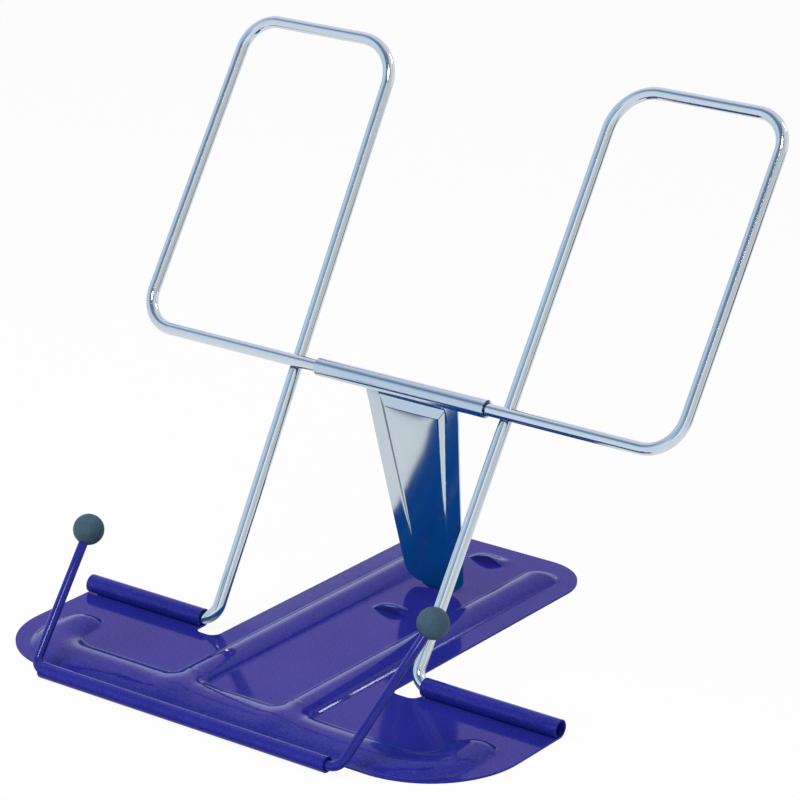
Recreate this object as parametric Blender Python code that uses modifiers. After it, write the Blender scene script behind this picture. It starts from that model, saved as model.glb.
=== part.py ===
"""Book stand: a pressed sheet base, a wire backrest, a prop strut and a page holder.

All sizes are in metres. X runs along the hinge of the backrest, Y points to the rear,
Z points up, and the origin is on the table below the hinge line.
"""
import math

import bmesh
import bpy
from mathutils import Matrix, Vector

MM = 0.001

# Stock and clearances
SHEET = 0.7 * MM
STRUT_SHEET = 0.6 * MM
WIRE_DIAMETER = 4.0 * MM
HOLDER_WIRE_DIAMETER = 3.0 * MM
RUNNING_GAP = 0.3 * MM

# Outline of the base
WINGS_CENTRE_X = 1.3 * MM
WING_HALF_WIDTH = 91.7 * MM
WING_FRONT_Y = -54.2 * MM
WING_LEFT_CORNER_RADIUS = 28.0 * MM
WING_RIGHT_CORNER_RADIUS = 32.0 * MM
TAIL_CENTRE_X = -0.5 * MM
TAIL_HALF_WIDTH = 34.4 * MM
TAIL_REAR_Y = 110.5 * MM
TAIL_CORNER_RADIUS = 18.5 * MM
RELIEF_OUTER_X = 43.5 * MM
RELIEF_DEPTH = 5.3 * MM
RELIEF_CORNER_RADIUS = 3.2 * MM

# Rolled front edge that holds the page holder
FRONT_ROLL_Y = -60.0 * MM
FRONT_ROLL_LEFT_X = -58.3 * MM
FRONT_ROLL_RIGHT_X = 52.0 * MM
FRONT_STEP_RADIUS = 1.5 * MM

# Curl of the rolled edges, turned from just before the lowest point to the free edge
CURL_LEAD_DEGREES = 10.0
CURL_DEGREES = 328.0
CURL_STEPS = 23

# Stiffening beads pressed into the base
FRONT_BEAD_Y = -43.7 * MM
FRONT_BEAD_RADIUS = 9.4 * MM
FRONT_BEAD_HEIGHT = 2.3 * MM
FRONT_BEAD_SINK_SHARE = 0.42
HOOK_X = 76.5 * MM
HOOK_END_Y = -23.3 * MM
HOOK_TURN_RADIUS = 15.0 * MM
HOOK_RADIUS_SHARE = 0.78
TAIL_BEAD_X = 20.2 * MM
TAIL_BEAD_RADIUS = 6.9 * MM
TAIL_BEAD_END_Y = 94.5 * MM
TAIL_BEAD_HEIGHT = 2.0 * MM
TAIL_BEAD_SINK_SHARE = 0.45

# Pierced stops in the tail for the foot of the strut
STOP_ROW_X = -2.0 * MM
MIDDLE_STOP_Y = 70.0 * MM
STOP_PITCH = 26.7 * MM
STOP_HALF_WIDTH = 6.8 * MM
STOP_HOOD_LENGTH = 7.0 * MM
STOP_HOOD_HEIGHT = 2.2 * MM
STOP_MOUTH_DEPTH = 1.4 * MM

# Wire backrest, measured in its own plane upwards from the hinge
BACKREST_TILT = math.radians(31.3)
LEG_HALF_SPACING_LOW = 39.2 * MM
LEG_HALF_SPACING_TOP = 42.9 * MM
LOOPS_CENTRE_X = 0.6 * MM
LOOP_LOW_X = 102.9 * MM
LOOP_TOP_X = 103.4 * MM
BAR_HEIGHT = 86.6 * MM
LOOP_TOP_HEIGHT = 195.2 * MM
LOOP_LOW_RADIUS = 12.0 * MM
LOOP_OUTER_RADIUS = 11.0 * MM
LOOP_INNER_RADIUS = 14.5 * MM
FOOT_BEND_RADIUS = 5.5 * MM
HINGE_PIN_END_X = 86.0 * MM
BEND_STEPS = 8

# Strut, measured down from the axis of the bar it hangs on
SLEEVE_LENGTH = 65.0 * MM
SLEEVE_CENTRE_X = 3.5 * MM
STRUT_TOP_WIDTH = 36.6 * MM
STRUT_TOP_CENTRE_X = 4.8 * MM
STRUT_FOOT_WIDTH = 22.5 * MM
STRUT_FOOT_CENTRE_X = -2.4 * MM
STRUT_FOOT_RADIUS = 6.0 * MM
STRUT_FOOT_POINT = 1.6 * MM
STRUT_FOOT_LIFT = 0.3 * MM
PANEL_TOP_DROP = 7.0 * MM
PANEL_LENGTH = 57.0 * MM
PANEL_TOP_WIDTH = 25.4 * MM
PANEL_FOOT_WIDTH = 14.0 * MM
PANEL_SLOPE_WIDTH = 2.0 * MM
PANEL_TOP_HEIGHT = 1.5 * MM
PANEL_FOOT_HEIGHT = 0.4 * MM

# Page holder, one wire through the front roll with a prong and a ball at each end
PRONG_LEFT_ROOT_X = -61.6 * MM
PRONG_RIGHT_ROOT_X = 56.2 * MM
PRONG_LEFT_BALL_X = -64.8 * MM
PRONG_RIGHT_BALL_X = 66.3 * MM
PRONG_LEFT_REACH = 46.4 * MM
PRONG_RIGHT_REACH = 49.2 * MM
PRONG_ANGLE = math.radians(49.3)
PRONG_BEND_RADIUS = 4.0 * MM
BALL_DIAMETER = 9.8 * MM
BALL_BORE_DEPTH = 6.0 * MM
BALL_SEGMENTS = 28

# Sizes that follow from the ones above
WIRE_RADIUS = WIRE_DIAMETER / 2
HOLDER_WIRE_RADIUS = HOLDER_WIRE_DIAMETER / 2
HINGE_Z = SHEET + RUNNING_GAP + WIRE_RADIUS
FRONT_ROLL_Z = SHEET + RUNNING_GAP + HOLDER_WIRE_RADIUS
BAR_OFFSET = WIRE_DIAMETER + RUNNING_GAP
HINGE_POINT = Vector((0, 0, HINGE_Z))
FRONT_ROLL_POINT = Vector((0, FRONT_ROLL_Y, FRONT_ROLL_Z))
UP_BACKREST = Vector((0, math.sin(BACKREST_TILT), math.cos(BACKREST_TILT)))
OUT_OF_BACKREST = Vector((0, -math.cos(BACKREST_TILT), math.sin(BACKREST_TILT)))
BAR_POINT = HINGE_POINT + UP_BACKREST * BAR_HEIGHT + OUT_OF_BACKREST * BAR_OFFSET
SLEEVE_MID_RADIUS = WIRE_RADIUS + RUNNING_GAP + STRUT_SHEET / 2
FOOT_Z = SHEET + STRUT_FOOT_LIFT
FOOT_Y = MIDDLE_STOP_Y - RUNNING_GAP - STRUT_SHEET


def start_scene():
    """Empty the scene and make the collections of the part and of its cutters."""
    for item in list(bpy.data.objects):
        bpy.data.objects.remove(item, do_unlink=True)
    part = bpy.data.collections.new("book_stand")
    cutters = bpy.data.collections.new("cutters")
    bpy.context.scene.collection.children.link(part)
    bpy.context.scene.collection.children.link(cutters)
    return part, cutters


def make_material(name, colour, roughness, metallic):
    """Make a plain surface material."""
    material = bpy.data.materials.new(name)
    material.use_nodes = True
    shader = material.node_tree.nodes["Principled BSDF"]
    shader.inputs["Base Color"].default_value = (*colour, 1.0)
    shader.inputs["Roughness"].default_value = roughness
    shader.inputs["Metallic"].default_value = metallic
    return material


def add_mesh_object(name, source, collection):
    """Turn a bmesh into an object and free the bmesh."""
    mesh = bpy.data.meshes.new(name)
    source.to_mesh(mesh)
    source.free()
    item = bpy.data.objects.new(name, mesh)
    collection.objects.link(item)
    return item


def add_cutter(name, source, collection):
    """Turn a bmesh into a tool for a boolean cut or join, left out of the part."""
    item = add_mesh_object(name, source, collection)
    item.hide_render = True
    item.display_type = "WIRE"
    return item


def curve_to_object(curve_object, collection):
    """Make a mesh object from an evaluated curve, with its caps welded on."""
    graph = bpy.context.evaluated_depsgraph_get()
    mesh = bpy.data.meshes.new_from_object(curve_object.evaluated_get(graph))
    name = curve_object.name
    matrix = curve_object.matrix_world.copy()
    bpy.data.objects.remove(curve_object, do_unlink=True)
    work = bmesh.new()
    work.from_mesh(mesh)
    bmesh.ops.remove_doubles(work, verts=work.verts, dist=SHEET / 1000)
    bmesh.ops.recalc_face_normals(work, faces=work.faces)
    bpy.data.meshes.remove(mesh)
    item = add_mesh_object(name, work, collection)
    item.matrix_world = matrix
    return item


def combine(target, tool, operation, solver="EXACT"):
    """Put a boolean modifier on the target."""
    modifier = target.modifiers.new(tool.name, "BOOLEAN")
    modifier.operation = operation
    modifier.object = tool
    modifier.solver = solver
    return modifier


def shade_round(item, degrees=35.0):
    """Shade smooth except over sharp edges."""
    item.data.shade_smooth()
    item.data.set_sharp_from_angle(angle=math.radians(degrees))


def rounded_path(corners, closed, steps):
    """Replace each corner (point, radius) of a path by an arc of that radius."""
    count = len(corners)
    points = []
    for index, (corner, radius) in enumerate(corners):
        corner = Vector(corner)
        at_end = not closed and index in (0, count - 1)
        if at_end or radius == 0:
            points.append(corner)
            continue
        before = (Vector(corners[index - 1][0]) - corner).normalized()
        after = (Vector(corners[(index + 1) % count][0]) - corner).normalized()
        half_angle = before.angle(after) / 2
        reach = radius / math.tan(half_angle)
        centre = corner + (before + after).normalized() * (radius / math.sin(half_angle))
        first = corner + before * reach - centre
        last = corner + after * reach - centre
        sweep = first.angle(last)
        for step in range(steps + 1):
            turn = sweep * step / steps
            side = (last - first * math.cos(sweep)) / math.sin(sweep)
            points.append(centre + first * math.cos(turn) + side * math.sin(turn))
    return points


def flat_plate(name, outline, thickness, collection):
    """Make a plate of the given outline in the XY plane, centred on it in thickness."""
    curve = bpy.data.curves.new(name, "CURVE")
    curve.dimensions = "2D"
    curve.fill_mode = "BOTH"
    curve.extrude = thickness / 2
    spline = curve.splines.new("POLY")
    spline.points.add(len(outline) - 1)
    for point, place in zip(spline.points, outline):
        point.co = (place.x, place.y, 0, 1)
    spline.use_cyclic_u = True
    item = bpy.data.objects.new(name, curve)
    collection.objects.link(item)
    plate = curve_to_object(item, collection)
    work = bmesh.new()
    work.from_mesh(plate.data)
    bmesh.ops.dissolve_limit(work, angle_limit=math.radians(1), verts=work.verts,
                             edges=work.edges)
    work.to_mesh(plate.data)
    work.free()
    return plate


def tube(name, points, radius, collection, resolution, radius_shares=None):
    """Make a round tube with capped ends along the points."""
    curve = bpy.data.curves.new(name, "CURVE")
    curve.dimensions = "3D"
    curve.bevel_depth = radius
    curve.bevel_resolution = resolution
    curve.use_fill_caps = True
    spline = curve.splines.new("POLY")
    spline.points.add(len(points) - 1)
    for index, place in enumerate(points):
        spline.points[index].co = (*place, 1)
        spline.points[index].radius = radius_shares[index] if radius_shares else 1
    item = bpy.data.objects.new(name, curve)
    collection.objects.link(item)
    return curve_to_object(item, collection)


def curl(name, middle, length, inner_radius, thickness, collection, turn=1):
    """Make a sheet edge rolled round an axis along X, open over a slot at its free edge.

    The roll starts below its axis, a little before its lowest point, and rises to the
    rear where turn is 1 and to the front where it is -1.
    """
    mid_radius = inner_radius + thickness / 2
    lead = math.radians(CURL_LEAD_DEGREES) * turn
    work = bmesh.new()
    begin = middle + Vector((0, -math.sin(lead), -math.cos(lead))) * mid_radius
    half = Vector((length / 2, 0, 0))
    edge = work.edges.new((work.verts.new(begin - half), work.verts.new(begin + half)))
    bmesh.ops.spin(
        work, geom=[edge, *edge.verts], cent=middle, axis=(1, 0, 0),
        angle=math.radians(CURL_DEGREES) * turn, steps=CURL_STEPS,
    )
    bmesh.ops.recalc_face_normals(work, faces=work.faces)
    item = add_cutter(name, work, collection)
    solid = item.modifiers.new("thickness", "SOLIDIFY")
    solid.thickness = thickness
    solid.offset = 0
    solid.use_even_offset = True
    return item


def base_side(sign, wing_radius):
    """Corners of one side of the base, from the wing's front to the tail's rear."""
    wing_x = WINGS_CENTRE_X + sign * WING_HALF_WIDTH
    relief_x = sign * RELIEF_OUTER_X
    tail_x = TAIL_CENTRE_X + sign * TAIL_HALF_WIDTH
    return [
        (Vector((wing_x, WING_FRONT_Y, 0)), wing_radius),
        (Vector((wing_x, 0, 0)), 0),
        (Vector((relief_x, 0, 0)), 0),
        (Vector((relief_x, -RELIEF_DEPTH, 0)), RELIEF_CORNER_RADIUS),
        (Vector((tail_x, -RELIEF_DEPTH, 0)), RELIEF_CORNER_RADIUS),
        (Vector((tail_x, TAIL_REAR_Y, 0)), TAIL_CORNER_RADIUS),
    ]


def base_outline():
    """Outline of the base: two wings, the relief notches at the hinge and the tail."""
    front = [
        (Vector((FRONT_ROLL_LEFT_X, WING_FRONT_Y, 0)), FRONT_STEP_RADIUS),
        (Vector((FRONT_ROLL_LEFT_X, FRONT_ROLL_Y, 0)), 0),
        (Vector((FRONT_ROLL_RIGHT_X, FRONT_ROLL_Y, 0)), 0),
        (Vector((FRONT_ROLL_RIGHT_X, WING_FRONT_Y, 0)), FRONT_STEP_RADIUS),
    ]
    right = base_side(1, WING_RIGHT_CORNER_RADIUS)
    left = base_side(-1, WING_LEFT_CORNER_RADIUS)
    return rounded_path(front + right + left[::-1], True, BEND_STEPS)


def domed_ends(path, radius, shares):
    """Carry a path on past both ends, with the tube's radius falling as on a ball."""
    steps = BEND_STEPS // 2
    points = list(path)
    radii = list(shares)
    for end, inner in ((0, 1), (-1, -2)):
        heading = (path[end] - path[inner]).normalized()
        start = path[end].copy()
        full = shares[end]
        for step in range(1, steps + 1):
            turn = math.pi / 2 * step / (steps + 0.5)
            place = start + heading * (radius * full * math.sin(turn))
            points.insert(0 if end == 0 else len(points), place)
            radii.insert(0 if end == 0 else len(radii), full * math.cos(turn))
    return points, radii


def bead_tools(name, path, radius, height, sink_share, collection, shares=None):
    """Make the raised form of a bead and the hollow under it.

    The form is a flattened tube with domed ends, sunk so that its top stands
    above the sheet by the bead's height.
    """
    squash = height / (radius * (1 - sink_share))
    points, radii = domed_ends(path, radius, shares or [1] * len(path))
    body = tube(name, points, radius, collection, 8, radii)
    lift = Matrix.Translation((0, 0, SHEET - radius * sink_share * squash))
    body.data.transform(lift @ Matrix.Diagonal((1, 1, squash, 1)))
    return raised_and_hollow(body, collection)


def raised_and_hollow(form, collection):
    """Split a sunk form into its part above the sheet and a lowered copy of it."""
    tools = []
    for suffix, drop, floor_z in (("", 0, SHEET / 2), ("_hollow", SHEET, -SHEET)):
        work = bmesh.new()
        work.from_mesh(form.data)
        bmesh.ops.translate(work, verts=work.verts, vec=(0, 0, -drop))
        cut = bmesh.ops.bisect_plane(
            work, geom=[*work.verts, *work.edges, *work.faces],
            plane_co=(0, 0, floor_z), plane_no=(0, 0, -1), clear_outer=True,
        )
        rim = [item for item in cut["geom_cut"] if isinstance(item, bmesh.types.BMEdge)]
        bmesh.ops.holes_fill(work, edges=rim, sides=0)
        bmesh.ops.recalc_face_normals(work, faces=work.faces)
        tools.append(add_cutter(form.name + suffix, work, collection))
    bpy.data.objects.remove(form, do_unlink=True)
    return tools


def hook_path():
    """Path of the front bead from one hooked end to the other."""
    corners = [
        ((WINGS_CENTRE_X - HOOK_X, HOOK_END_Y, 0), 0),
        ((WINGS_CENTRE_X - HOOK_X, FRONT_BEAD_Y, 0), HOOK_TURN_RADIUS),
        ((WINGS_CENTRE_X + HOOK_X, FRONT_BEAD_Y, 0), HOOK_TURN_RADIUS),
        ((WINGS_CENTRE_X + HOOK_X, HOOK_END_Y, 0), 0),
    ]
    return rounded_path(corners, False, BEND_STEPS)


def stop_tools(name, place, collection):
    """Make the dome of a pierced stop and its hollow, which is also open to the front."""
    tools = []
    dome_height = STOP_HOOD_HEIGHT + SHEET
    for suffix, drop, front in (("", 0, 0), ("_mouth", SHEET, STOP_MOUTH_DEPTH)):
        work = bmesh.new()
        bmesh.ops.create_uvsphere(work, u_segments=24, v_segments=12, radius=1)
        for vert in work.verts:
            depth = front if vert.co.y < 0 else STOP_HOOD_LENGTH
            vert.co = (vert.co.x * STOP_HALF_WIDTH, vert.co.y * depth, vert.co.z * dome_height)
        bmesh.ops.translate(work, verts=work.verts, vec=place - Vector((0, 0, drop)))
        planes = [(place, Vector((0, -1, 0)))] if front == 0 else []
        planes.append((Vector((0, 0, SHEET / 2 if front == 0 else -SHEET)), Vector((0, 0, -1))))
        for middle, outwards in planes:
            cut = bmesh.ops.bisect_plane(
                work, geom=[*work.verts, *work.edges, *work.faces], dist=SHEET / 1000,
                plane_co=middle, plane_no=outwards, clear_outer=True,
            )
            rim = [item for item in cut["geom_cut"] if isinstance(item, bmesh.types.BMEdge)]
            bmesh.ops.holes_fill(work, edges=rim, sides=0)
        bmesh.ops.recalc_face_normals(work, faces=work.faces)
        tools.append(add_cutter(name + suffix, work, collection))
    return tools


def make_base(part, cutters, paint):
    """Base of one pressed sheet: beads, pierced stops and three rolled edges."""
    plate = flat_plate("base_plate", base_outline(), SHEET, part)
    plate.data.transform(Matrix.Translation((0, 0, SHEET / 2)))
    path = hook_path()
    shares = []
    for point in path:
        rise = (point.y - FRONT_BEAD_Y) / (HOOK_END_Y - FRONT_BEAD_Y)
        shares.append(1 - (1 - HOOK_RADIUS_SHARE) * rise)
    pairs = [bead_tools("front_bead", path, FRONT_BEAD_RADIUS, FRONT_BEAD_HEIGHT,
                        FRONT_BEAD_SINK_SHARE, cutters, shares)]
    for side, sign in (("left", -1), ("right", 1)):
        ends = [Vector((sign * TAIL_BEAD_X, y, 0)) for y in (FRONT_BEAD_Y, TAIL_BEAD_END_Y)]
        pairs.append(bead_tools(side + "_tail_bead", ends, TAIL_BEAD_RADIUS,
                                TAIL_BEAD_HEIGHT, TAIL_BEAD_SINK_SHARE, cutters))
    for row, name in ((-1, "front_stop"), (0, "middle_stop"), (1, "rear_stop")):
        place = Vector((STOP_ROW_X, MIDDLE_STOP_Y + STOP_PITCH * row, 0))
        pairs.append(stop_tools(name, place, cutters))
    roll_length = FRONT_ROLL_RIGHT_X - FRONT_ROLL_LEFT_X
    roll_middle = FRONT_ROLL_POINT + Vector((FRONT_ROLL_LEFT_X + roll_length / 2, 0, 0))
    rolls = [curl("front_roll", roll_middle, roll_length,
                  HOLDER_WIRE_RADIUS + RUNNING_GAP, SHEET, cutters, -1)]
    for side, sign in (("left", -1), ("right", 1)):
        inner = sign * RELIEF_OUTER_X
        outer = WINGS_CENTRE_X + sign * WING_HALF_WIDTH
        middle = HINGE_POINT + Vector(((inner + outer) / 2, 0, 0))
        rolls.append(curl(side + "_ledge", middle, abs(outer - inner),
                          WIRE_RADIUS + RUNNING_GAP, SHEET, cutters))
    for raised, _ in pairs:
        combine(plate, raised, "UNION", "MANIFOLD")
    for _, hollow in pairs:
        combine(plate, hollow, "DIFFERENCE", "MANIFOLD")
    for roll in rolls:
        combine(plate, roll, "UNION", "MANIFOLD")
    plate.data.materials.append(paint)
    shade_round(plate)
    return plate


def backrest_point(x, height, offset=0):
    """Place a point of the backrest's plane, offset to its front."""
    return HINGE_POINT + Vector((x, 0, 0)) + UP_BACKREST * height + OUT_OF_BACKREST * offset


def backrest_half(sign):
    """Corners of one half of the backrest, from the bar's corner to the hinge pin."""
    low_x = LOOPS_CENTRE_X + sign * LOOP_LOW_X
    top_x = LOOPS_CENTRE_X + sign * LOOP_TOP_X
    leg_x = LOOPS_CENTRE_X + sign * LEG_HALF_SPACING_TOP
    return [
        (backrest_point(low_x, BAR_HEIGHT, BAR_OFFSET), LOOP_LOW_RADIUS),
        (backrest_point(top_x, LOOP_TOP_HEIGHT), LOOP_OUTER_RADIUS),
        (backrest_point(leg_x, LOOP_TOP_HEIGHT), LOOP_INNER_RADIUS),
        (backrest_point(sign * LEG_HALF_SPACING_LOW, 0), FOOT_BEND_RADIUS),
        (backrest_point(sign * HINGE_PIN_END_X, 0), 0),
    ]


def make_backrest(part, chrome):
    """Backrest of one wire: hinge pins, legs, two loops and the bar across the legs."""
    right = backrest_half(1)
    left = [(backrest_point(0, BAR_HEIGHT, BAR_OFFSET), 0), *backrest_half(-1)]
    path = rounded_path(left[::-1] + right, False, BEND_STEPS)
    origin = Matrix.Translation(-HINGE_POINT)
    wire = tube("backrest_wire", [origin @ point for point in path], WIRE_RADIUS, part, 4)
    wire.location = HINGE_POINT
    wire.data.materials.append(chrome)
    shade_round(wire)
    return wire


def strut_outline(length):
    """Outline of the strut's plate, from the axis of the bar down to the foot."""
    top_left = STRUT_TOP_CENTRE_X - STRUT_TOP_WIDTH / 2
    top_right = STRUT_TOP_CENTRE_X + STRUT_TOP_WIDTH / 2
    foot_left = STRUT_FOOT_CENTRE_X - STRUT_FOOT_WIDTH / 2
    foot_right = STRUT_FOOT_CENTRE_X + STRUT_FOOT_WIDTH / 2
    corners = [
        ((top_left, 0, 0), 0),
        ((foot_left, STRUT_FOOT_POINT - length, 0), STRUT_FOOT_RADIUS),
        ((STRUT_FOOT_CENTRE_X, -length, 0), STRUT_FOOT_RADIUS),
        ((foot_right, STRUT_FOOT_POINT - length, 0), STRUT_FOOT_RADIUS),
        ((top_right, 0, 0), 0),
    ]
    return rounded_path(corners, True, BEND_STEPS)


def panel_tool(name, length, collection):
    """Make the raised panel of the strut, highest at its top and fading to its foot."""
    work = bmesh.new()
    lean = (STRUT_FOOT_CENTRE_X - STRUT_TOP_CENTRE_X) / length
    corners = []
    for drop, width in ((PANEL_TOP_DROP, PANEL_TOP_WIDTH),
                        (PANEL_TOP_DROP + PANEL_LENGTH, PANEL_FOOT_WIDTH)):
        middle = STRUT_TOP_CENTRE_X + lean * drop
        corners.append((middle - width / 2, middle + width / 2, -drop))
    (left, right, top), (foot_left, foot_right, foot) = corners
    base = [(left, top), (foot_left, foot), (foot_right, foot), (right, top)]
    face = work.faces.new([work.verts.new((x, y, -STRUT_SHEET / 2)) for x, y in base])
    side = bmesh.ops.extrude_face_region(work, geom=[face])["geom"]
    raised = [item for item in side if isinstance(item, bmesh.types.BMVert)]
    bmesh.ops.translate(work, verts=raised, vec=(0, 0, STRUT_SHEET))
    crown = [item for item in side if isinstance(item, bmesh.types.BMFace)]
    bmesh.ops.inset_region(work, faces=crown, thickness=PANEL_SLOPE_WIDTH, use_even_offset=True)
    for vert in crown[0].verts:
        share = (vert.co.y - foot) / (top - foot)
        vert.co.z += PANEL_FOOT_HEIGHT + (PANEL_TOP_HEIGHT - PANEL_FOOT_HEIGHT) * share
    bmesh.ops.recalc_face_normals(work, faces=work.faces)
    return add_cutter(name, work, collection)


def make_strut(part, cutters, chrome):
    """Strut of one sheet: a sleeve rolled round the bar, a plate and its raised panel."""
    foot = Vector((0, FOOT_Y, FOOT_Z))
    reach = (foot - BAR_POINT).length
    length = math.sqrt(reach * reach - SLEEVE_MID_RADIUS * SLEEVE_MID_RADIUS)
    down = (foot - BAR_POINT).normalized()
    twist = math.asin(SLEEVE_MID_RADIUS / reach)
    down = Matrix.Rotation(-twist, 3, "X") @ down
    outwards = Vector((1, 0, 0)).cross(-down)
    plate = flat_plate("prop_strut", strut_outline(length), STRUT_SHEET, part)
    panel = panel_tool("strut_panel", length, cutters)
    combine(plate, panel, "UNION")
    hollow = panel.copy()
    hollow.data = panel.data.copy()
    hollow.data.transform(Matrix.Translation((0, 0, -STRUT_SHEET)))
    cutters.objects.link(hollow)
    combine(plate, hollow, "DIFFERENCE")
    sleeve_middle = Vector((SLEEVE_CENTRE_X, 0, SLEEVE_MID_RADIUS))
    sleeve = curl("strut_sleeve", sleeve_middle, SLEEVE_LENGTH,
                  WIRE_RADIUS + RUNNING_GAP, STRUT_SHEET, cutters)
    combine(plate, sleeve, "UNION")
    axes = Matrix((Vector((1, 0, 0)), -down, outwards)).transposed().to_4x4()
    seat = Matrix.Translation((0, 0, -SLEEVE_MID_RADIUS))
    for item in (plate, panel, hollow, sleeve):
        item.data.transform(seat)
        item.matrix_world = Matrix.Translation(BAR_POINT) @ axes
    plate.data.materials.append(chrome)
    shade_round(plate)
    return plate


def prong_direction():
    """Direction from the page holder's axis to the ball, seen from the side."""
    return Vector((0, math.cos(PRONG_ANGLE), math.sin(PRONG_ANGLE)))


def prong(root_x, ball_x, reach):
    """Root, ball centre and heading of a prong of the page holder."""
    root = Vector((root_x, 0, 0))
    tip = prong_direction() * reach + Vector((ball_x, 0, 0))
    return root, tip, (tip - root).normalized()


def make_page_holder(part, paint, prongs):
    """Page holder of one wire: a straight pivot and a prong at each end."""
    inset = BALL_BORE_DEPTH - BALL_DIAMETER / 2 - RUNNING_GAP
    (left_root, left_tip, left_heading), (right_root, right_tip, right_heading) = prongs
    corners = [
        (left_tip + left_heading * inset, 0),
        (left_root, PRONG_BEND_RADIUS),
        (right_root, PRONG_BEND_RADIUS),
        (right_tip + right_heading * inset, 0),
    ]
    wire = tube("page_holder", rounded_path(corners, False, BEND_STEPS),
                HOLDER_WIRE_RADIUS, part, 3)
    wire.location = FRONT_ROLL_POINT
    wire.data.materials.append(paint)
    shade_round(wire)
    return wire


def ball_profile():
    """Profile of a ball with a blind bore, from the bore's floor round to its mouth."""
    ball_radius = BALL_DIAMETER / 2
    bore_radius = HOLDER_WIRE_RADIUS + RUNNING_GAP
    mouth_z = -math.sqrt(ball_radius ** 2 - bore_radius ** 2)
    first = math.asin(mouth_z / ball_radius)
    points = []
    for step in range(BALL_SEGMENTS // 2 + 1):
        angle = math.pi / 2 + (first - math.pi / 2) * step / (BALL_SEGMENTS // 2)
        points.append((ball_radius * math.cos(angle), ball_radius * math.sin(angle)))
    points[0] = (0, ball_radius)
    floor_z = BALL_BORE_DEPTH - ball_radius
    points.append((bore_radius, floor_z))
    points.append((0, floor_z))
    return points


def make_ball(name, tip, heading, holder, part, rubber):
    """Ball tip with its bore on the end of a prong, carried by the page holder."""
    work = bmesh.new()
    verts = [work.verts.new((radius, 0, z)) for radius, z in ball_profile()]
    for first, second in zip(verts, verts[1:]):
        work.edges.new((first, second))
    item = add_mesh_object(name, work, part)
    screw = item.modifiers.new("turned", "SCREW")
    screw.steps = BALL_SEGMENTS
    screw.render_steps = BALL_SEGMENTS
    screw.use_merge_vertices = True
    screw.merge_threshold = 0.00001
    turn = Vector((0, 0, 1)).rotation_difference(heading)
    item.parent = holder
    item.matrix_basis = Matrix.Translation(tip) @ turn.to_matrix().to_4x4()
    item.data.materials.append(rubber)
    return item


def main():
    """Build the book stand."""
    part, cutters = start_scene()
    paint = make_material("violet_paint", (0.075, 0.055, 0.33), 0.22, 0.0)
    holder_paint = make_material("holder_paint", (0.03, 0.025, 0.25), 0.25, 0.0)
    chrome = make_material("chrome", (0.80, 0.82, 0.85), 0.08, 1.0)
    strut_chrome = make_material("strut_chrome", (0.78, 0.81, 0.86), 0.06, 1.0)
    rubber = make_material("grey_rubber", (0.045, 0.085, 0.11), 0.6, 0.0)
    make_base(part, cutters, paint)
    make_backrest(part, chrome)
    make_strut(part, cutters, strut_chrome)
    prongs = [prong(PRONG_LEFT_ROOT_X, PRONG_LEFT_BALL_X, PRONG_LEFT_REACH),
              prong(PRONG_RIGHT_ROOT_X, PRONG_RIGHT_BALL_X, PRONG_RIGHT_REACH)]
    holder = make_page_holder(part, holder_paint, prongs)
    for name, (_, tip, heading) in zip(("left_ball_tip", "right_ball_tip"), prongs):
        make_ball(name, tip, heading, holder, part, rubber)


main()
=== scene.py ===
"""Book stand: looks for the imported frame, in metres, with the hinge line along X.

Every piece is bent or pressed here from the same sizes as its solid, more finely and
with its finish, and rides on the body that carries it.
"""

from __future__ import annotations

import logging
import math
from dataclasses import dataclass, field
from enum import Enum
from functools import partial, reduce

import bmesh
import bpy
import numpy as np
from bmesh.types import BMEdge, BMesh, BMVert
from bpy.types import ID, Material, Node, NodeSocket, NodeTree, Object
from mathutils import Matrix, Vector

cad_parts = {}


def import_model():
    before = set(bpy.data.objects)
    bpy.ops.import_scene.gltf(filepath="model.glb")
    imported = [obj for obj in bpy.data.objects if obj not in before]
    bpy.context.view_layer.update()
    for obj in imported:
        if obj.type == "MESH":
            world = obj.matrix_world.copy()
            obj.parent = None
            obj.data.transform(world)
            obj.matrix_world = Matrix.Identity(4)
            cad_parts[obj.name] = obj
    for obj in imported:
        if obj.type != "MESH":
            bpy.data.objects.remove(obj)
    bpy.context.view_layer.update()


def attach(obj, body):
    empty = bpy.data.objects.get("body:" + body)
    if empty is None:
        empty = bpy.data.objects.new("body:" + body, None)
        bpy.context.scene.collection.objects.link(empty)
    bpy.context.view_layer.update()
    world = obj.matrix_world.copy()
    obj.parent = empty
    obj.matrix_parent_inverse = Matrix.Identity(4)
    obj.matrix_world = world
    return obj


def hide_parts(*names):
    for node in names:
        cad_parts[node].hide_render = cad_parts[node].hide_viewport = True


LOG = logging.getLogger("book_stand")
MM = 0.001
# Places closer than this count as the same place.
SAME = MM / 100
X_AXIS = Vector((1, 0, 0))
Y_AXIS = Vector((0, 1, 0))
Z_AXIS = Vector((0, 0, 1))

Colour = tuple[float, float, float, float]


class Body(Enum):
    """Moving bodies of the stand."""

    BASE = "base"
    BACKREST = "backrest"
    STRUT = "strut"
    PAGE_HOLDER = "page_holder"


class Slot(Enum):
    """Material slots of the record."""

    VIOLET_PAINT = "violet_paint"
    HOLDER_PAINT = "holder_paint"
    CHROME = "chrome"
    STRUT_CHROME = "strut_chrome"
    GREY_RUBBER = "grey_rubber"


# Shader node helpers


@dataclass(frozen=True)
class Edge:
    """Soft edge across an axis, with a mask of 0 at the outer place and 1 at the inner."""

    axis: str
    outer: float
    inner: float


@dataclass(frozen=True)
class Shade:
    """Change across an edge from one colour to another, or on to a further shade."""

    edge: Edge
    outer: Colour
    inner: Colour | Shade


@dataclass(frozen=True)
class Zone:
    """Zone that lies inside several edges, with its colour or shade."""

    name: str
    edges: tuple[Edge, ...]
    colour: Colour | Shade


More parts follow.
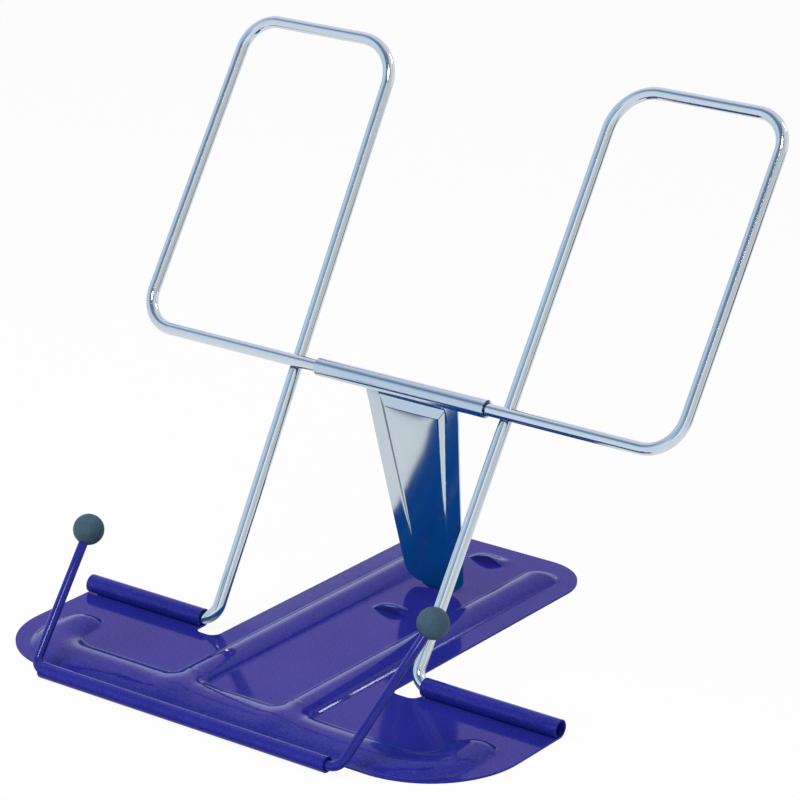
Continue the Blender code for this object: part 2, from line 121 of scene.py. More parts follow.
class NodeSheet:
    """Adds and joins the nodes of one node tree."""

    def __init__(self, tree: NodeTree) -> None:
        """Keep the node tree of a material, a world or a group to work on."""
        self.tree = tree

    def add(self, kind: str, **values: object) -> Node:
        """Add a node, its kind without the ShaderNode prefix, and set it up."""
        return self.set_up(self.tree.nodes.new("ShaderNode" + kind), **values)

    def set_up(self, node: Node, **values: object) -> Node:
        """Set the properties and the inputs of a node.

        Args:
            node: Node to set up.
            values: Properties by name; inputs by name with underscores for spaces.

        Returns:
            The node.
        """
        for name, value in values.items():
            if hasattr(node, name):
                setattr(node, name, value)
            else:
                self.feed(node.inputs[name.replace("_", " ")], value)
        return node

    def feed(self, socket: NodeSocket, value: object) -> None:
        """Link a socket to an input, or set the input's own value.

        Args:
            socket: Input socket.
            value: Output socket, number or tuple.
        """
        if isinstance(value, NodeSocket):
            self.tree.links.new(value, socket)
        else:
            socket.default_value = value

    def made(self, kind: str, fed: dict[int, object], output: int = 0,
             **values: object) -> NodeSocket:
        """Add a node and feed its inputs by number.

        Args:
            kind: Node type without its ShaderNode prefix.
            fed: Sockets or values by the number of the input.
            output: Number of the output that is wanted.
            values: Properties by name.

        Returns:
            The output.
        """
        node = self.add(kind, **values)
        for index, value in fed.items():
            self.feed(node.inputs[index], value)
        return node.outputs[output]

    def calculate(self, operation: str, *terms: object) -> NodeSocket:
        """Result of a Math node, with sockets or numbers in the order of its inputs."""
        return self.made("Math", dict(enumerate(terms)), operation=operation)

    def product(self, *factors: object) -> object:
        """Multiply sockets or numbers."""
        return reduce(partial(self.calculate, "MULTIPLY"), factors)

    def blend(self, share: object, first: object, second: object) -> NodeSocket:
        """Mix two colours, by the share of the second."""
        return self.made("Mix", {0: share, 6: first, 7: second}, 2, data_type="RGBA")

    def mix_shaders(self, share: object, first: object, second: object) -> NodeSocket:
        """Mix two shaders, by the share of the second."""
        return self.made("MixShader", {0: share, 1: first, 2: second})

    def ramp(self, value: object, outer: object, inner: object) -> NodeSocket:
        """Smooth mask of a value: 0 at outer and 1 at inner, which may be the smaller."""
        return self.made("MapRange", {0: value, 1: outer, 2: inner},
                         interpolation_type="SMOOTHSTEP")

    def mask(self, axes: Node, *edges: Edge) -> object:
        """Mask of what lies inside all edges, by the axes of a Separate XYZ node."""
        return self.product(*[self.ramp(axes.outputs[edge.axis], edge.outer, edge.inner)
                              for edge in edges])

    def shaded(self, axes: Node, colour: Colour | Shade) -> object:
        """Work out a colour that may change across edges.

        Args:
            axes: Separate XYZ node of the place or direction.
            colour: Colour or shade.

        Returns:
            The colour, or the socket that gives it.
        """
        if not isinstance(colour, Shade):
            return colour
        return self.blend(self.mask(axes, colour.edge), colour.outer,
                          self.shaded(axes, colour.inner))


def mirrored_again(sheet: NodeSheet, seen: Node) -> NodeSocket:
    """Mask of what is seen in a reflection of a reflection, by a Light Path node."""
    return sheet.calculate("GREATER_THAN", seen.outputs["Glossy Depth"], 1.5)


def start_material(name: str) -> tuple[Material, NodeSheet, Node]:
    """Start a material.

    Args:
        name: Name of the material.

    Returns:
        The material, its node sheet and its shader.
    """
    material = bpy.data.materials.new(name)
    material.use_nodes = True
    tree = material.node_tree
    return material, NodeSheet(tree), tree.nodes["Principled BSDF"]


def linear(*channels: int) -> Colour:
    """Turn display values of 0 to 255 into linear light, with an alpha of 1."""
    return (*[share / 12.92 if share <= 0.04045 else ((share + 0.055) / 1.055) ** 2.4
              for share in (channel / 255 for channel in channels)], 1.0)


class EffectGroups:
    """Shader node groups that several finishes use, each built once."""

    def __init__(self) -> None:
        """Build the groups."""
        self.grain = self._fine_grain()
        self.rub_and_highlight = self._edge_rub_and_highlight()

    @staticmethod
    def _start(name: str, inputs: dict[str, float],
               outputs: tuple[str, ...]) -> tuple[NodeSheet, Node, Node]:
        """Start a group with its named sockets.

        Args:
            name: Name of the group.
            inputs: Input names with their default values.
            outputs: Output names.

        Returns:
            The group's sheet, its input node and its output node.
        """
        group = bpy.data.node_groups.new(name, "ShaderNodeTree")
        for label, value in inputs.items():
            group.interface.new_socket(name=label, in_out="INPUT",
                                       socket_type="NodeSocketFloat").default_value = value
        for label in outputs:
            group.interface.new_socket(name=label, in_out="OUTPUT",
                                       socket_type="NodeSocketFloat")
        return (NodeSheet(group), group.nodes.new("NodeGroupInput"),
                group.nodes.new("NodeGroupOutput"))

    def _fine_grain(self) -> NodeTree:
        """Group: uneven tone, uneven roughness and a fine relief of a coated surface."""
        sheet, entry, leave = self._start(
            "fine grain",
            {"Fine Scale": 900.0, "Broad Scale": 40.0, "Tone Amount": 0.05,
             "Roughness": 0.2, "Roughness Amount": 0.05},
            ("Tone", "Roughness", "Height"))
        broad_share = 0.3
        least_roughness = 0.02
        place = sheet.add("TexCoord").outputs["Object"]
        fine = sheet.add("TexNoise", Vector=place, Scale=entry.outputs["Fine Scale"],
                         Detail=2.0, Roughness=0.6).outputs[0]
        broad = sheet.add("TexNoise", Vector=place, Scale=entry.outputs["Broad Scale"],
                          Detail=3.0, Roughness=0.55).outputs[0]
        uneven = sheet.calculate("SUBTRACT", broad, 0.5)
        both = sheet.calculate("MULTIPLY_ADD", uneven, broad_share,
                               sheet.calculate("SUBTRACT", fine, 0.5))
        tone = sheet.calculate("MULTIPLY_ADD", both, entry.outputs["Tone Amount"], 1.0)
        rough = sheet.calculate("MULTIPLY_ADD", uneven, entry.outputs["Roughness Amount"],
                                entry.outputs["Roughness"])
        sheet.set_up(leave, Tone=tone, Height=fine,
                     Roughness=sheet.calculate("MAXIMUM", rough, least_roughness))
        return sheet.tree

    def _edge_rub_and_highlight(self) -> NodeTree:
        """Group: mask of the outer edges that hands and tables wear, also used for a painted
        edge highlight.
        """
        sheet, entry, leave = self._start(
            "edge rub", {"Start": 0.52, "End": 0.62, "Patch Scale": 120.0}, ("Mask",))
        edge = sheet.add("NewGeometry").outputs["Pointiness"]
        spread = sheet.ramp(edge, entry.outputs["Start"], entry.outputs["End"])
        patch = sheet.add("TexNoise", Vector=sheet.add("TexCoord").outputs["Object"],
                          Scale=entry.outputs["Patch Scale"], Detail=4.0).outputs[0]
        sheet.set_up(leave, Mask=sheet.product(spread, sheet.ramp(patch, 0.35, 0.65)))
        return sheet.tree


@dataclass(frozen=True)
class Finish:
    """A surface finish with a grain, edges lightened for rubbed wear and a painted highlight,
    and, where given, a painted reflection colour and a painted glint.
    """

    name: str
    colour: Colour
    rub_and_highlight_colour: Colour
    roughness: float
    roughness_amount: float
    tone_amount: float
    fine_scale: float
    broad_scale: float
    bump: float
    bump_height: float
    rub_and_highlight_share: float
    metallic: float = 0.0
    specular: float = 0.5
    colour_share: float = 0.3
    # Painted reflection: the colour that mirrors see in place of the finish's own, where given.
    mirrored: Colour | None = None
    # Painted glint: a white dot at this place on the surface, where a place is given.
    glint_place: tuple[float, float, float] | None = None
    glint_colour: Colour = (1, 1, 1, 1)
    glint_radius: float = 0.5 * MM
    glint_core_share: float = 0.8

    def build(self, groups: EffectGroups) -> Material:
        """Make the material.

        Args:
            groups: Shared shader node groups.

        Returns:
            The finished material.
        """
        material, sheet, shader = start_material(self.name)
        grain = sheet.add("Group", node_tree=groups.grain, Fine_Scale=self.fine_scale,
                          Broad_Scale=self.broad_scale, Tone_Amount=self.tone_amount,
                          Roughness=self.roughness,
                          Roughness_Amount=self.roughness_amount).outputs
        rub_and_highlight = sheet.add("Group", node_tree=groups.rub_and_highlight).outputs["Mask"]
        toned = sheet.add("VectorMath", operation="SCALE", Vector=self.colour[:3],
                          Scale=sheet.calculate("MULTIPLY_ADD", grain["Tone"],
                                                self.colour_share, 1 - self.colour_share))
        # Edges lighten to the rubbed colour: partly wear, partly a painted edge highlight.
        colour = sheet.blend(sheet.product(rub_and_highlight, self.rub_and_highlight_share), toned.outputs[0],
                             self.rub_and_highlight_colour)
        # Painted glint: a small white dot.
        if self.glint_place is not None:
            apart = sheet.add("VectorMath", operation="DISTANCE",
                              Vector=sheet.add("TexCoord").outputs["Object"])
            apart.inputs[1].default_value = self.glint_place
            glint = sheet.ramp(apart.outputs["Value"], self.glint_radius,
                              self.glint_core_share * self.glint_radius)
            colour = sheet.blend(glint, colour, self.glint_colour)
        # Painted reflection: mirrors see the given colour.
        if self.mirrored is not None:
            seen = sheet.add("LightPath").outputs["Is Glossy Ray"]
            colour = sheet.blend(seen, colour, self.mirrored)
        relief = sheet.add("Bump", Strength=self.bump, Distance=self.bump_height,
                           Height=grain["Height"])
        sheet.set_up(shader, Base_Color=colour, Roughness=grain["Roughness"],
                     Normal=relief.outputs[0], Metallic=self.metallic,
                     Specular_IOR_Level=sheet.product(grain["Tone"], self.specular))
        return material


VIOLET_PAINT = Finish(
    name="violet enamel", colour=linear(38, 39, 138), rub_and_highlight_colour=linear(96, 92, 190),
    roughness=0.09, roughness_amount=0.05, tone_amount=2.0, fine_scale=1500.0,
    broad_scale=25.0, bump=0.5, bump_height=0.012 * MM, specular=0.19, rub_and_highlight_share=0.3,
    # Painted reflection: the strut's mirror shows the base in this teal blue.
    colour_share=0.6, mirrored=linear(4, 71, 141),
    # Painted glint on the pip of the tail's left bead.
    glint_place=(-20.7 * MM, -16.4 * MM, 3.7 * MM))
HOLDER_PAINT = Finish(
    name="dark violet enamel", colour=linear(34, 34, 134), rub_and_highlight_colour=linear(80, 76, 170),
    roughness=0.12, roughness_amount=0.05, tone_amount=0.3, fine_scale=1500.0,
    broad_scale=60.0, bump=0.15, bump_height=0.01 * MM, specular=0.31, rub_and_highlight_share=0.2)
CHROME = Finish(
    name="bright chrome", colour=linear(226, 233, 240), rub_and_highlight_colour=linear(236, 240, 244),
    roughness=0.11, roughness_amount=0.05, tone_amount=0.03, fine_scale=2500.0,
    broad_scale=90.0, bump=0.06, bump_height=0.01 * MM, metallic=1.0, rub_and_highlight_share=0.2)
STRUT_CHROME = Finish(
    name="mirror chrome", colour=linear(212, 222, 234), rub_and_highlight_colour=linear(228, 234, 242),
    roughness=0.13, roughness_amount=0.05, tone_amount=0.03, fine_scale=2500.0,
    broad_scale=50.0, bump=0.04, bump_height=0.01 * MM, metallic=1.0, rub_and_highlight_share=0.2)
GREY_RUBBER = Finish(
    name="grey rubber", colour=linear(57, 82, 98), rub_and_highlight_colour=linear(86, 108, 120),
    roughness=0.62, roughness_amount=0.2, tone_amount=1.3, fine_scale=1300.0,
    broad_scale=300.0, bump=0.7, bump_height=0.05 * MM, specular=0.35, rub_and_highlight_share=0.2)


# Shared ways of making shapes


def put_in_scene(name: str, data: ID) -> Object:
    """Make an object and link it to the scene.

    Args:
        name: Name of the object.
        data: Its mesh, camera or lamp.

    Returns:
        The object.
    """
    made = bpy.data.objects.new(name, data)
    bpy.context.scene.collection.objects.link(made)
    return made


def turn_from_z(heading: Vector) -> Matrix:
    """Turn that brings the Z axis to a heading."""
    return Z_AXIS.rotation_difference(heading).to_matrix().to_4x4()


@dataclass(frozen=True)
class Corner:
    """Corner of a path and the radius that it is bent to."""

    place: Vector
    radius: float = 0.0


def flat(x: float, y: float, radius: float = 0.0) -> Corner:
    """Corner in the plane of a blank."""
    return Corner(Vector((x, y, 0)), radius)


@dataclass
class Bend:
    """An arc that takes the place of a corner."""

    first: Vector
    last: Vector
    centre: Vector
    axis: Vector
    angle: float

    @staticmethod
    def at(before: Vector, corner: Corner, after: Vector) -> "Bend":
        """Work out the bend at a corner.

        Args:
            before: Any point on the run into the corner.
            corner: The corner.
            after: Any point on the run out of it.

        Returns:
            The bend.
        """
        back = (before - corner.place).normalized()
        on = (after - corner.place).normalized()
        half = back.angle(on) / 2
        reach = corner.radius / math.tan(half)
        centre = corner.place + (back + on).normalized() * (corner.radius / math.sin(half))
        return Bend(corner.place + back * reach, corner.place + on * reach, centre,
                    (-back).cross(on).normalized(), math.pi - 2 * half)

    def points(self, steps: int) -> list[Vector]:
        """Points along the arc, from first to last."""
        arm = self.first - self.centre
        return [self.centre + Matrix.Rotation(self.angle * step / steps, 3, self.axis) @ arm
                for step in range(steps + 1)]


def rounded(corners: list[Corner], closed: bool, steps: int) -> list[Vector]:
    """Points of a path with its corners bent.

    Args:
        corners: Corners in order.
        closed: Whether the last corner runs on to the first.
        steps: Steps in each bend.

    Returns:
        The points.
    """
    points = []
    count = len(corners)
    for index, corner in enumerate(corners):
        if corner.radius == 0 or (not closed and index in (0, count - 1)):
            points.append(corner.place.copy())
            continue
        before = corners[index - 1].place
        after = corners[(index + 1) % count].place
        points.extend(Bend.at(before, corner, after).points(steps))
    return points


@dataclass
class WireBender:
    """Bends a round wire by drawing its section along runs and turning it in bends."""

    radius: float
    sides: int = 32
    bend_steps: int = 14
    rim: float = 0.25 * MM
    rim_steps: int = 3

    def bend(self, corners: list[Corner]) -> BMesh:
        """Make the wire.

        Args:
            corners: Ends and corners of the wire's middle line.

        Returns:
            The closed wire.
        """
        work = bmesh.new()
        turn = turn_from_z((corners[1].place - corners[0].place).normalized())
        bmesh.ops.create_circle(work, cap_ends=False, segments=self.sides, radius=self.radius,
                                matrix=Matrix.Translation(corners[0].place) @ turn)
        first_ring = list(work.edges)
        ring = first_ring
        place = corners[0].place
        for before, corner, after in zip(corners, corners[1:], corners[2:]):
            bend = Bend.at(before.place, corner, after.place)
            ring = self._draw(work, ring, bend.first - place)
            spun = bmesh.ops.spin(
                work, geom=[*ring, *self._points_of(ring)], cent=bend.centre, axis=bend.axis,
                angle=bend.angle, steps=self.bend_steps)["geom_last"]
            ring = [item for item in spun if isinstance(item, BMEdge)]
            place = bend.last
        last_ring = self._draw(work, ring, corners[-1].place - place)
        caps = bmesh.ops.holes_fill(work, edges=[*first_ring, *last_ring], sides=0)["faces"]
        rims = [edge for cap in caps for edge in cap.edges]
        bmesh.ops.bevel(work, geom=rims, offset=self.rim, offset_type="OFFSET",
                        segments=self.rim_steps, profile=0.5, affect="EDGES", material=-1)
        bmesh.ops.recalc_face_normals(work, faces=work.faces)
        return work

    @staticmethod
    def _points_of(edges: list[BMEdge]) -> list[BMVert]:
        """Vertices of a ring of edges, each once."""
        return list({vert for edge in edges for vert in edge.verts})

    @staticmethod
    def _draw(work: BMesh, ring: list[BMEdge],
              step: Vector) -> list[BMEdge]:
        """Draw a ring along a straight run.

        Args:
            work: Mesh in work.
            ring: Edges of the open end.
            step: Vector of the run.

        Returns:
            The new open end.
        """
        drawn = bmesh.ops.extrude_edge_only(work, edges=ring)["geom"]
        points = {item for item in drawn if isinstance(item, BMVert)}
        bmesh.ops.translate(work, verts=list(points), vec=step)
        return [item for item in drawn if isinstance(item, BMEdge)
                and item.verts[0] in points and item.verts[1] in points]


@dataclass(frozen=True)
class CutLine:
    """A line that the blank of a pressed sheet is scored along."""

    place: Vector
    normal: Vector


class SheetBlank:
    """Flat blank of a sheet, scored into small faces so that it can be pressed."""

    def __init__(self, outline: list[Vector]) -> None:
        """Lay out the blank inside an outline in the XY plane."""
        self.work = bmesh.new()
        self.work.faces.new([self.work.verts.new((point.x, point.y, 0)) for point in outline])

    def score(self, lines: list[CutLine]) -> None:
        """Split the faces along lines."""
        for line in lines:
            bmesh.ops.bisect_plane(
                self.work, geom=[*self.work.verts, *self.work.edges, *self.work.faces],
                dist=SAME / 20, plane_co=line.place, plane_no=line.normal)

    def score_grid(self, xs: list[float], ys: list[float]) -> None:
        """Split the faces along lines at the given places on both axes."""
        self.score([CutLine(X_AXIS * x, X_AXIS) for x in xs])
        self.score([CutLine(Y_AXIS * y, Y_AXIS) for y in ys])

    def roll_edge(self, y: float, x_low: float, x_high: float, middle: Vector,
                  degrees: float, steps: int) -> None:
        """Roll the part of the outline that lies on a line along X round an axis along X.

        Args:
            y: Place of the line.
            x_low: Start of the rolled part.
            x_high: End of the rolled part.
            middle: A point on the axis.
            degrees: Turn about +X.
            steps: Steps of the roll.
        """
        edges = []
        for edge in self.work.edges:
            ends = [vert.co for vert in edge.verts]
            if all(abs(end.y - y) < SAME and x_low - SAME <= end.x <= x_high + SAME
                   for end in ends):
                edges.append(edge)
        verts = list({vert for edge in edges for vert in edge.verts})
        bmesh.ops.spin(self.work, geom=[*edges, *verts], cent=middle, axis=X_AXIS,
                       angle=math.radians(degrees), steps=steps)


def spaced(low: float, high: float, pitch: float) -> list[float]:
    """Evenly spaced places from low to high, at most a pitch apart."""
    count = max(1, math.ceil((high - low) / pitch))
    return [low + (high - low) * step / count for step in range(count + 1)]


def around(middle: float, reach: float, pitch: float) -> list[float]:
    """Evenly spaced places on both sides of a middle, at most a pitch apart."""
    return spaced(middle - reach, middle + reach, pitch)


def merged(groups: list[list[float]], apart: float) -> list[float]:
    """Places of several lists in order, without near doubles.

    Args:
        groups: Lists of places; the first list wins over near doubles in the others.
        apart: Least space between two places that are kept.

    Returns:
        The places in rising order.
    """
    kept: list[float] = []
    for group in groups:
        for place in group:
            if all(abs(place - other) > apart for other in kept):
                kept.append(place)
    return sorted(kept)


def add_piece(name: str, work: BMesh, finish: Material, body: Body,
              node: str, sharp_degrees: float) -> Object:
    """Turn a finished mesh into a piece that rides on a body and stands for its solid.

    Args:
        name: Name of the piece.
        work: Mesh in work, which is freed.
        finish: Material of the piece.
        body: Body that carries it.
        node: Solid that it stands for.
        sharp_degrees: Edges over this angle stay sharp.

    Returns:
        The piece.
    """
    mesh = bpy.data.meshes.new(name)
    work.to_mesh(mesh)
    work.free()
    mesh.shade_smooth()
    mesh.set_sharp_from_angle(angle=math.radians(sharp_degrees))
    mesh.materials.append(finish)
    piece = put_in_scene(name, mesh)
    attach(piece, body.value)
    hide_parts(node)
    LOG.info("%s: %d faces on %s", name, len(mesh.polygons), body.value)
    return piece


def add_thickness(piece: Object, thickness: float, rim: float,
                  rim_degrees: float = 55.0) -> None:
    """Give a sheet its thickness and break its cut edges.

    Args:
        piece: Piece whose mesh is the sheet's middle surface.
        thickness: Thickness of the sheet.
        rim: Width of the broken edge.
        rim_degrees: Edges over this angle are broken.
    """
    solid = piece.modifiers.new("thickness", "SOLIDIFY")
    solid.thickness = thickness
    solid.offset = 0
    solid.use_even_offset = True
    solid.use_quality_normals = True
    edge = piece.modifiers.new("broken edge", "BEVEL")
    edge.width = rim
    edge.segments = 2
    edge.limit_method = "ANGLE"
    edge.angle_limit = math.radians(rim_degrees)
    edge.harden_normals = True


# Sizes that more than one piece needs


@dataclass(frozen=True)
class Stock:
    """Sheet, wire, clearances and places that more than one piece needs."""

    sheet: float = 0.7 * MM
    strut_sheet: float = 0.6 * MM
    wire_radius: float = 2.0 * MM
    holder_radius: float = 1.5 * MM
    gap: float = 0.3 * MM
    roll_y: float = -60.0 * MM
    stop_middle_y: float = 70.0 * MM
    sheet_sharp_degrees: float = 60.0
    wire_sharp_degrees: float = 40.0

    @property
    def hinge(self) -> Vector:
        """Point on the hinge line of the backrest."""
        return Vector((0, 0, self.sheet + self.gap + self.wire_radius))

    @property
    def front_hinge(self) -> Vector:
        """Point on the hinge line of the page holder, in the front roll."""
        return Vector((0, self.roll_y, self.sheet + self.gap + self.holder_radius))


@dataclass(frozen=True)
class Bead:
    """A bead pressed along a path, shaped as a sunk and flattened tube."""

    path: list[Vector]
    radii: list[float]
    height: float
    sink: float

    def raw_height(self, places: np.ndarray) -> np.ndarray:
        """Height of the bead, falling on below zero outside its foot.

        Args:
            places: X and Y of the places, one row each.

        Returns:
            The heights.
        """
        best = np.full(len(places), -1.0)
        for first, second, start, end in zip(self.path, self.path[1:], self.radii,
                                             self.radii[1:]):
            run = np.array(((second - first).x, (second - first).y))
            away = places - np.array((first.x, first.y))
            share = np.clip(away @ run / (run @ run), 0, 1)
            distance = np.hypot(*(away - share[:, None] * run).T)
            radius = start + (end - start) * share
            squash = self.height / (radius * (1 - self.sink))
            foot = radius * math.sqrt(1 - self.sink ** 2)
            inside = np.sqrt(np.maximum(radius ** 2 - np.minimum(distance, foot) ** 2, 0))
            slope = squash * math.sqrt(1 - self.sink ** 2) / self.sink
            rise = squash * (inside - radius * self.sink)
            best = np.maximum(best, rise - slope * np.maximum(distance - foot, 0))
        return best


def soft_max(first: np.ndarray, second: np.ndarray, width: float) -> np.ndarray:
    """Larger of two heights, with a fillet of a given width where they meet."""
    return 0.5 * (first + second + np.sqrt((first - second) ** 2 + width ** 2))


@dataclass
class BasePlate:
    """Base pressed from one sheet: wings, tail, beads, pierced stops and rolls."""

    stock: Stock = field(default_factory=Stock)
    wings_centre_x: float = 1.3 * MM
    wing_half_width: float = 91.7 * MM
    wing_front_y: float = -54.2 * MM
    wing_corners: tuple[float, float] = (28.0 * MM, 32.0 * MM)
    tail_centre_x: float = -0.5 * MM
    tail_half_width: float = 34.4 * MM
    tail_rear_y: float = 110.5 * MM
    tail_corner: float = 18.5 * MM
    relief_outer_x: float = 43.5 * MM
    relief_depth: float = 5.3 * MM
    relief_corner: float = 3.2 * MM
    roll_left_x: float = -58.3 * MM
    roll_right_x: float = 52.0 * MM
    step_radius: float = 1.5 * MM
    roll_degrees: float = 311.0
    bead_y: float = -43.7 * MM
    bead_radius: float = 9.4 * MM
    bead_height: float = 2.3 * MM
    bead_sink: float = 0.42
    hook_x: float = 76.5 * MM
    hook_end_y: float = -23.3 * MM
    hook_turn: float = 15.0 * MM
    hook_share: float = 0.78
    tail_bead_x: float = 20.2 * MM
    tail_bead_radius: float = 6.9 * MM
    tail_bead_end_y: float = 94.5 * MM
    tail_bead_heights: tuple[float, float] = (2.0 * MM, 2.2 * MM)
    tail_bead_sinks: tuple[float, float] = (0.45, 0.40)
    bead_fillet: float = 0.22 * MM
    flange_rise: float = 0.4 * MM
    junction_fillet: float = 1.6 * MM
    stop_x: float = -2.0 * MM
    stop_pitch: float = 26.7 * MM
    stop_half_width: float = 6.8 * MM
    hood_length: float = 7.0 * MM
    hood_height: float = 2.2 * MM
    mouth_depth: float = 0.5 * MM
    mouth_reach: float = 3.0 * MM
    pip_place: tuple[float, float] = (-20.7 * MM, -16.4 * MM)
    pip_radius: float = 0.9 * MM
    pip_height: float = 1.3 * MM
    pip_reach_share: float = 1.25
    rim: float = 0.16 * MM
    junction_reach: float = 4.0 * MM
    flange_reach: float = 2.0 * MM
    flange_run_in: float = 8.0 * MM
    hood_power: float = 1.3
    # Stretches that are scored finely, and the paces between the lines.
    hook_fine_xs: tuple[tuple[float, float], ...] = (
        (58.0 * MM, 88.0 * MM), (-86.0 * MM, -56.0 * MM))
    front_fine_ys: tuple[float, float] = (-55.5 * MM, -12.0 * MM)
    tail_end_lead: float = 1.0 * MM
    bead_margin: float = 1.2 * MM
    flank_middle_share: float = 0.9
    flank_reach_share: float = 0.15
    stop_pace: float = 0.85 * MM
    pip_pace: float = 0.27 * MM
    flank_pace: float = 0.3 * MM
    bead_pace: float = 0.7 * MM
    hook_pace: float = 0.8 * MM
    open_paces: tuple[float, float] = (3.0 * MM, 2.5 * MM)
    least_pace: float = 0.25 * MM
    border_margin: float = 0.3 * MM
    # Steps of the bends and rolls.
    corner_steps: int = 24
    hook_steps: int = 16
    front_roll_steps: int = 40
    rear_roll_steps: int = 44

    def wing_x(self, sign: int) -> float:
        """Outer edge of a wing, -1 for the left and 1 for the right."""
        return self.wings_centre_x + sign * self.wing_half_width

    def tail_x(self, sign: int) -> float:
        """Edge of the tail, -1 for the left and 1 for the right."""
        return self.tail_centre_x + sign * self.tail_half_width

    def side(self, sign: int, wing_corner: float) -> list[Corner]:
        """Corners of one side of the blank, from the wing's front to the tail's rear.

        Args:
            sign: -1 for the left, 1 for the right.
            wing_corner: Radius of the wing's front corner.

        Returns:
            The corners.
        """
        relief_x = sign * self.relief_outer_x
        return [
            flat(self.wing_x(sign), self.wing_front_y, wing_corner),
            flat(self.wing_x(sign), 0),
            flat(relief_x, 0),
            flat(relief_x, -self.relief_depth, self.relief_corner),
            flat(self.tail_x(sign), -self.relief_depth, self.relief_corner),
            flat(self.tail_x(sign), self.tail_rear_y, self.tail_corner),
        ]

    def outline(self) -> list[Vector]:
        """Outline of the blank, with its rolled edges still to come."""
        left_corner, right_corner = self.wing_corners
        front = [
            flat(self.roll_left_x, self.wing_front_y, self.step_radius),
            flat(self.roll_left_x, self.stock.roll_y),
            flat(self.roll_right_x, self.stock.roll_y),
            flat(self.roll_right_x, self.wing_front_y, self.step_radius),
        ]
        corners = front + self.side(1, right_corner) + self.side(-1, left_corner)[::-1]
        return rounded(corners, True, self.corner_steps)

    def beads(self) -> list[Bead]:
        """The front bead with its hooks and the two beads of the tail."""
        left, right = (self.wings_centre_x + sign * self.hook_x for sign in (-1, 1))
        corners = [
            flat(left, self.hook_end_y),
            flat(left, self.bead_y, self.hook_turn),
            flat(right, self.bead_y, self.hook_turn),
            flat(right, self.hook_end_y),
        ]
        path = rounded(corners, False, self.hook_steps)
        radii = []
        for point in path:
            rise = (point.y - self.bead_y) / (self.hook_end_y - self.bead_y)
            radii.append(self.bead_radius * (1 - (1 - self.hook_share) * rise))
        found = [Bead(path, radii, self.bead_height, self.bead_sink)]
        for sign, height, sink in zip((-1, 1), self.tail_bead_heights, self.tail_bead_sinks):
            ends = [Vector((sign * self.tail_bead_x, y, 0))
                    for y in (self.bead_y, self.tail_bead_end_y)]
            found.append(Bead(ends, [self.tail_bead_radius] * 2, height, sink))
        return found

    def stop_rows(self) -> list[float]:
        """Places of the slits of the pierced stops along Y."""
        return [self.stock.stop_middle_y + self.stop_pitch * row for row in (-1, 0, 1)]

    def grid(self) -> tuple[list[float], list[float]]:
        """Lines to score the blank along, close together where it is pressed."""
        foot = self.tail_bead_radius + self.bead_margin
        pip_x, pip_y = self.pip_place
        pip_reach = self.pip_radius * self.pip_reach_share
        flank_x = self.tail_bead_x + self.flank_middle_share * self.tail_bead_radius
        xs = [around(self.stop_x, self.stop_half_width, self.stop_pace),
              around(pip_x, pip_reach, self.pip_pace),
              around(flank_x, self.flank_reach_share * self.tail_bead_radius, self.flank_pace),
              around(self.tail_bead_x, foot, self.bead_pace),
              around(-self.tail_bead_x, foot, self.bead_pace),
              *[spaced(*ends, self.hook_pace) for ends in self.hook_fine_xs],
              spaced(self.wing_x(-1), self.wing_x(1), self.open_paces[0])]
        slits = self.stop_rows()
        mouths = [spaced(slit - self.mouth_reach, slit, self.stop_pace) for slit in slits]
        hoods = [spaced(slit, slit + self.hood_length, self.stop_pace) for slit in slits]
        ys = [slits, *[mouth + hood for mouth, hood in zip(mouths, hoods)],
              around(pip_y, pip_reach, self.pip_pace),
              spaced(*self.front_fine_ys, self.bead_pace),
              spaced(self.tail_bead_end_y - self.tail_end_lead, self.tail_bead_end_y + foot,
                     self.bead_pace),
              spaced(self.stock.roll_y, self.tail_rear_y, self.open_paces[1])]
        x_borders = [self.roll_left_x, self.roll_right_x]
        for sign in (-1, 1):
            x_borders += [sign * self.relief_outer_x, self.tail_x(sign), self.wing_x(sign)]
        y_borders = [self.stock.roll_y, self.tail_rear_y, 0, self.wing_front_y,
                     -self.relief_depth]
        return self.off_borders(xs, x_borders), self.off_borders(ys, y_borders)

    def off_borders(self, groups: list[list[float]], borders: list[float]) -> list[float]:
        """Merge places and keep those inside the blank and off its straight edges.

        Args:
            groups: Lists of places.
            borders: Places of the straight edges.

        Returns:
            The kept places in rising order.
        """
        low, high = min(borders), max(borders)
        return [place for place in merged(groups, self.least_pace) if low < place < high
                and all(abs(place - border) > self.border_margin for border in borders)]

    def open_slits(self, work: BMesh) -> None:
        """Cut the slits of the stops, raise their hoods and hollow their mouths.

        Args:
            work: Scored blank.
        """
        for slit in self.stop_rows():
            edges = [edge for edge in work.edges
                     if all(abs(vert.co.y - slit) < SAME
                            and abs(vert.co.x - self.stop_x) < self.stop_half_width + SAME
                            for vert in edge.verts)]
            bmesh.ops.split_edges(work, edges=edges)
            for vert in list(work.verts):
                across = (vert.co.x - self.stop_x) / self.stop_half_width
                along = vert.co.y - slit
                if abs(across) >= 1 or not vert.link_faces:
                    continue
                behind = sum(face.calc_center_median().y for face in vert.link_faces)
                behind = behind / len(vert.link_faces) > slit
                if behind and -SAME <= along < self.hood_length:
                    arch = (1 - across * across) ** self.hood_power
                    fall = 1 - max(along, 0) / self.hood_length
                    vert.co.z += self.hood_height * arch * fall * fall * (3 - 2 * fall)
                elif not behind and -self.mouth_reach < along <= SAME:
                    share = 1 + min(along, 0) / self.mouth_reach
                    vert.co.y -= self.mouth_depth * (1 - across * across) * share

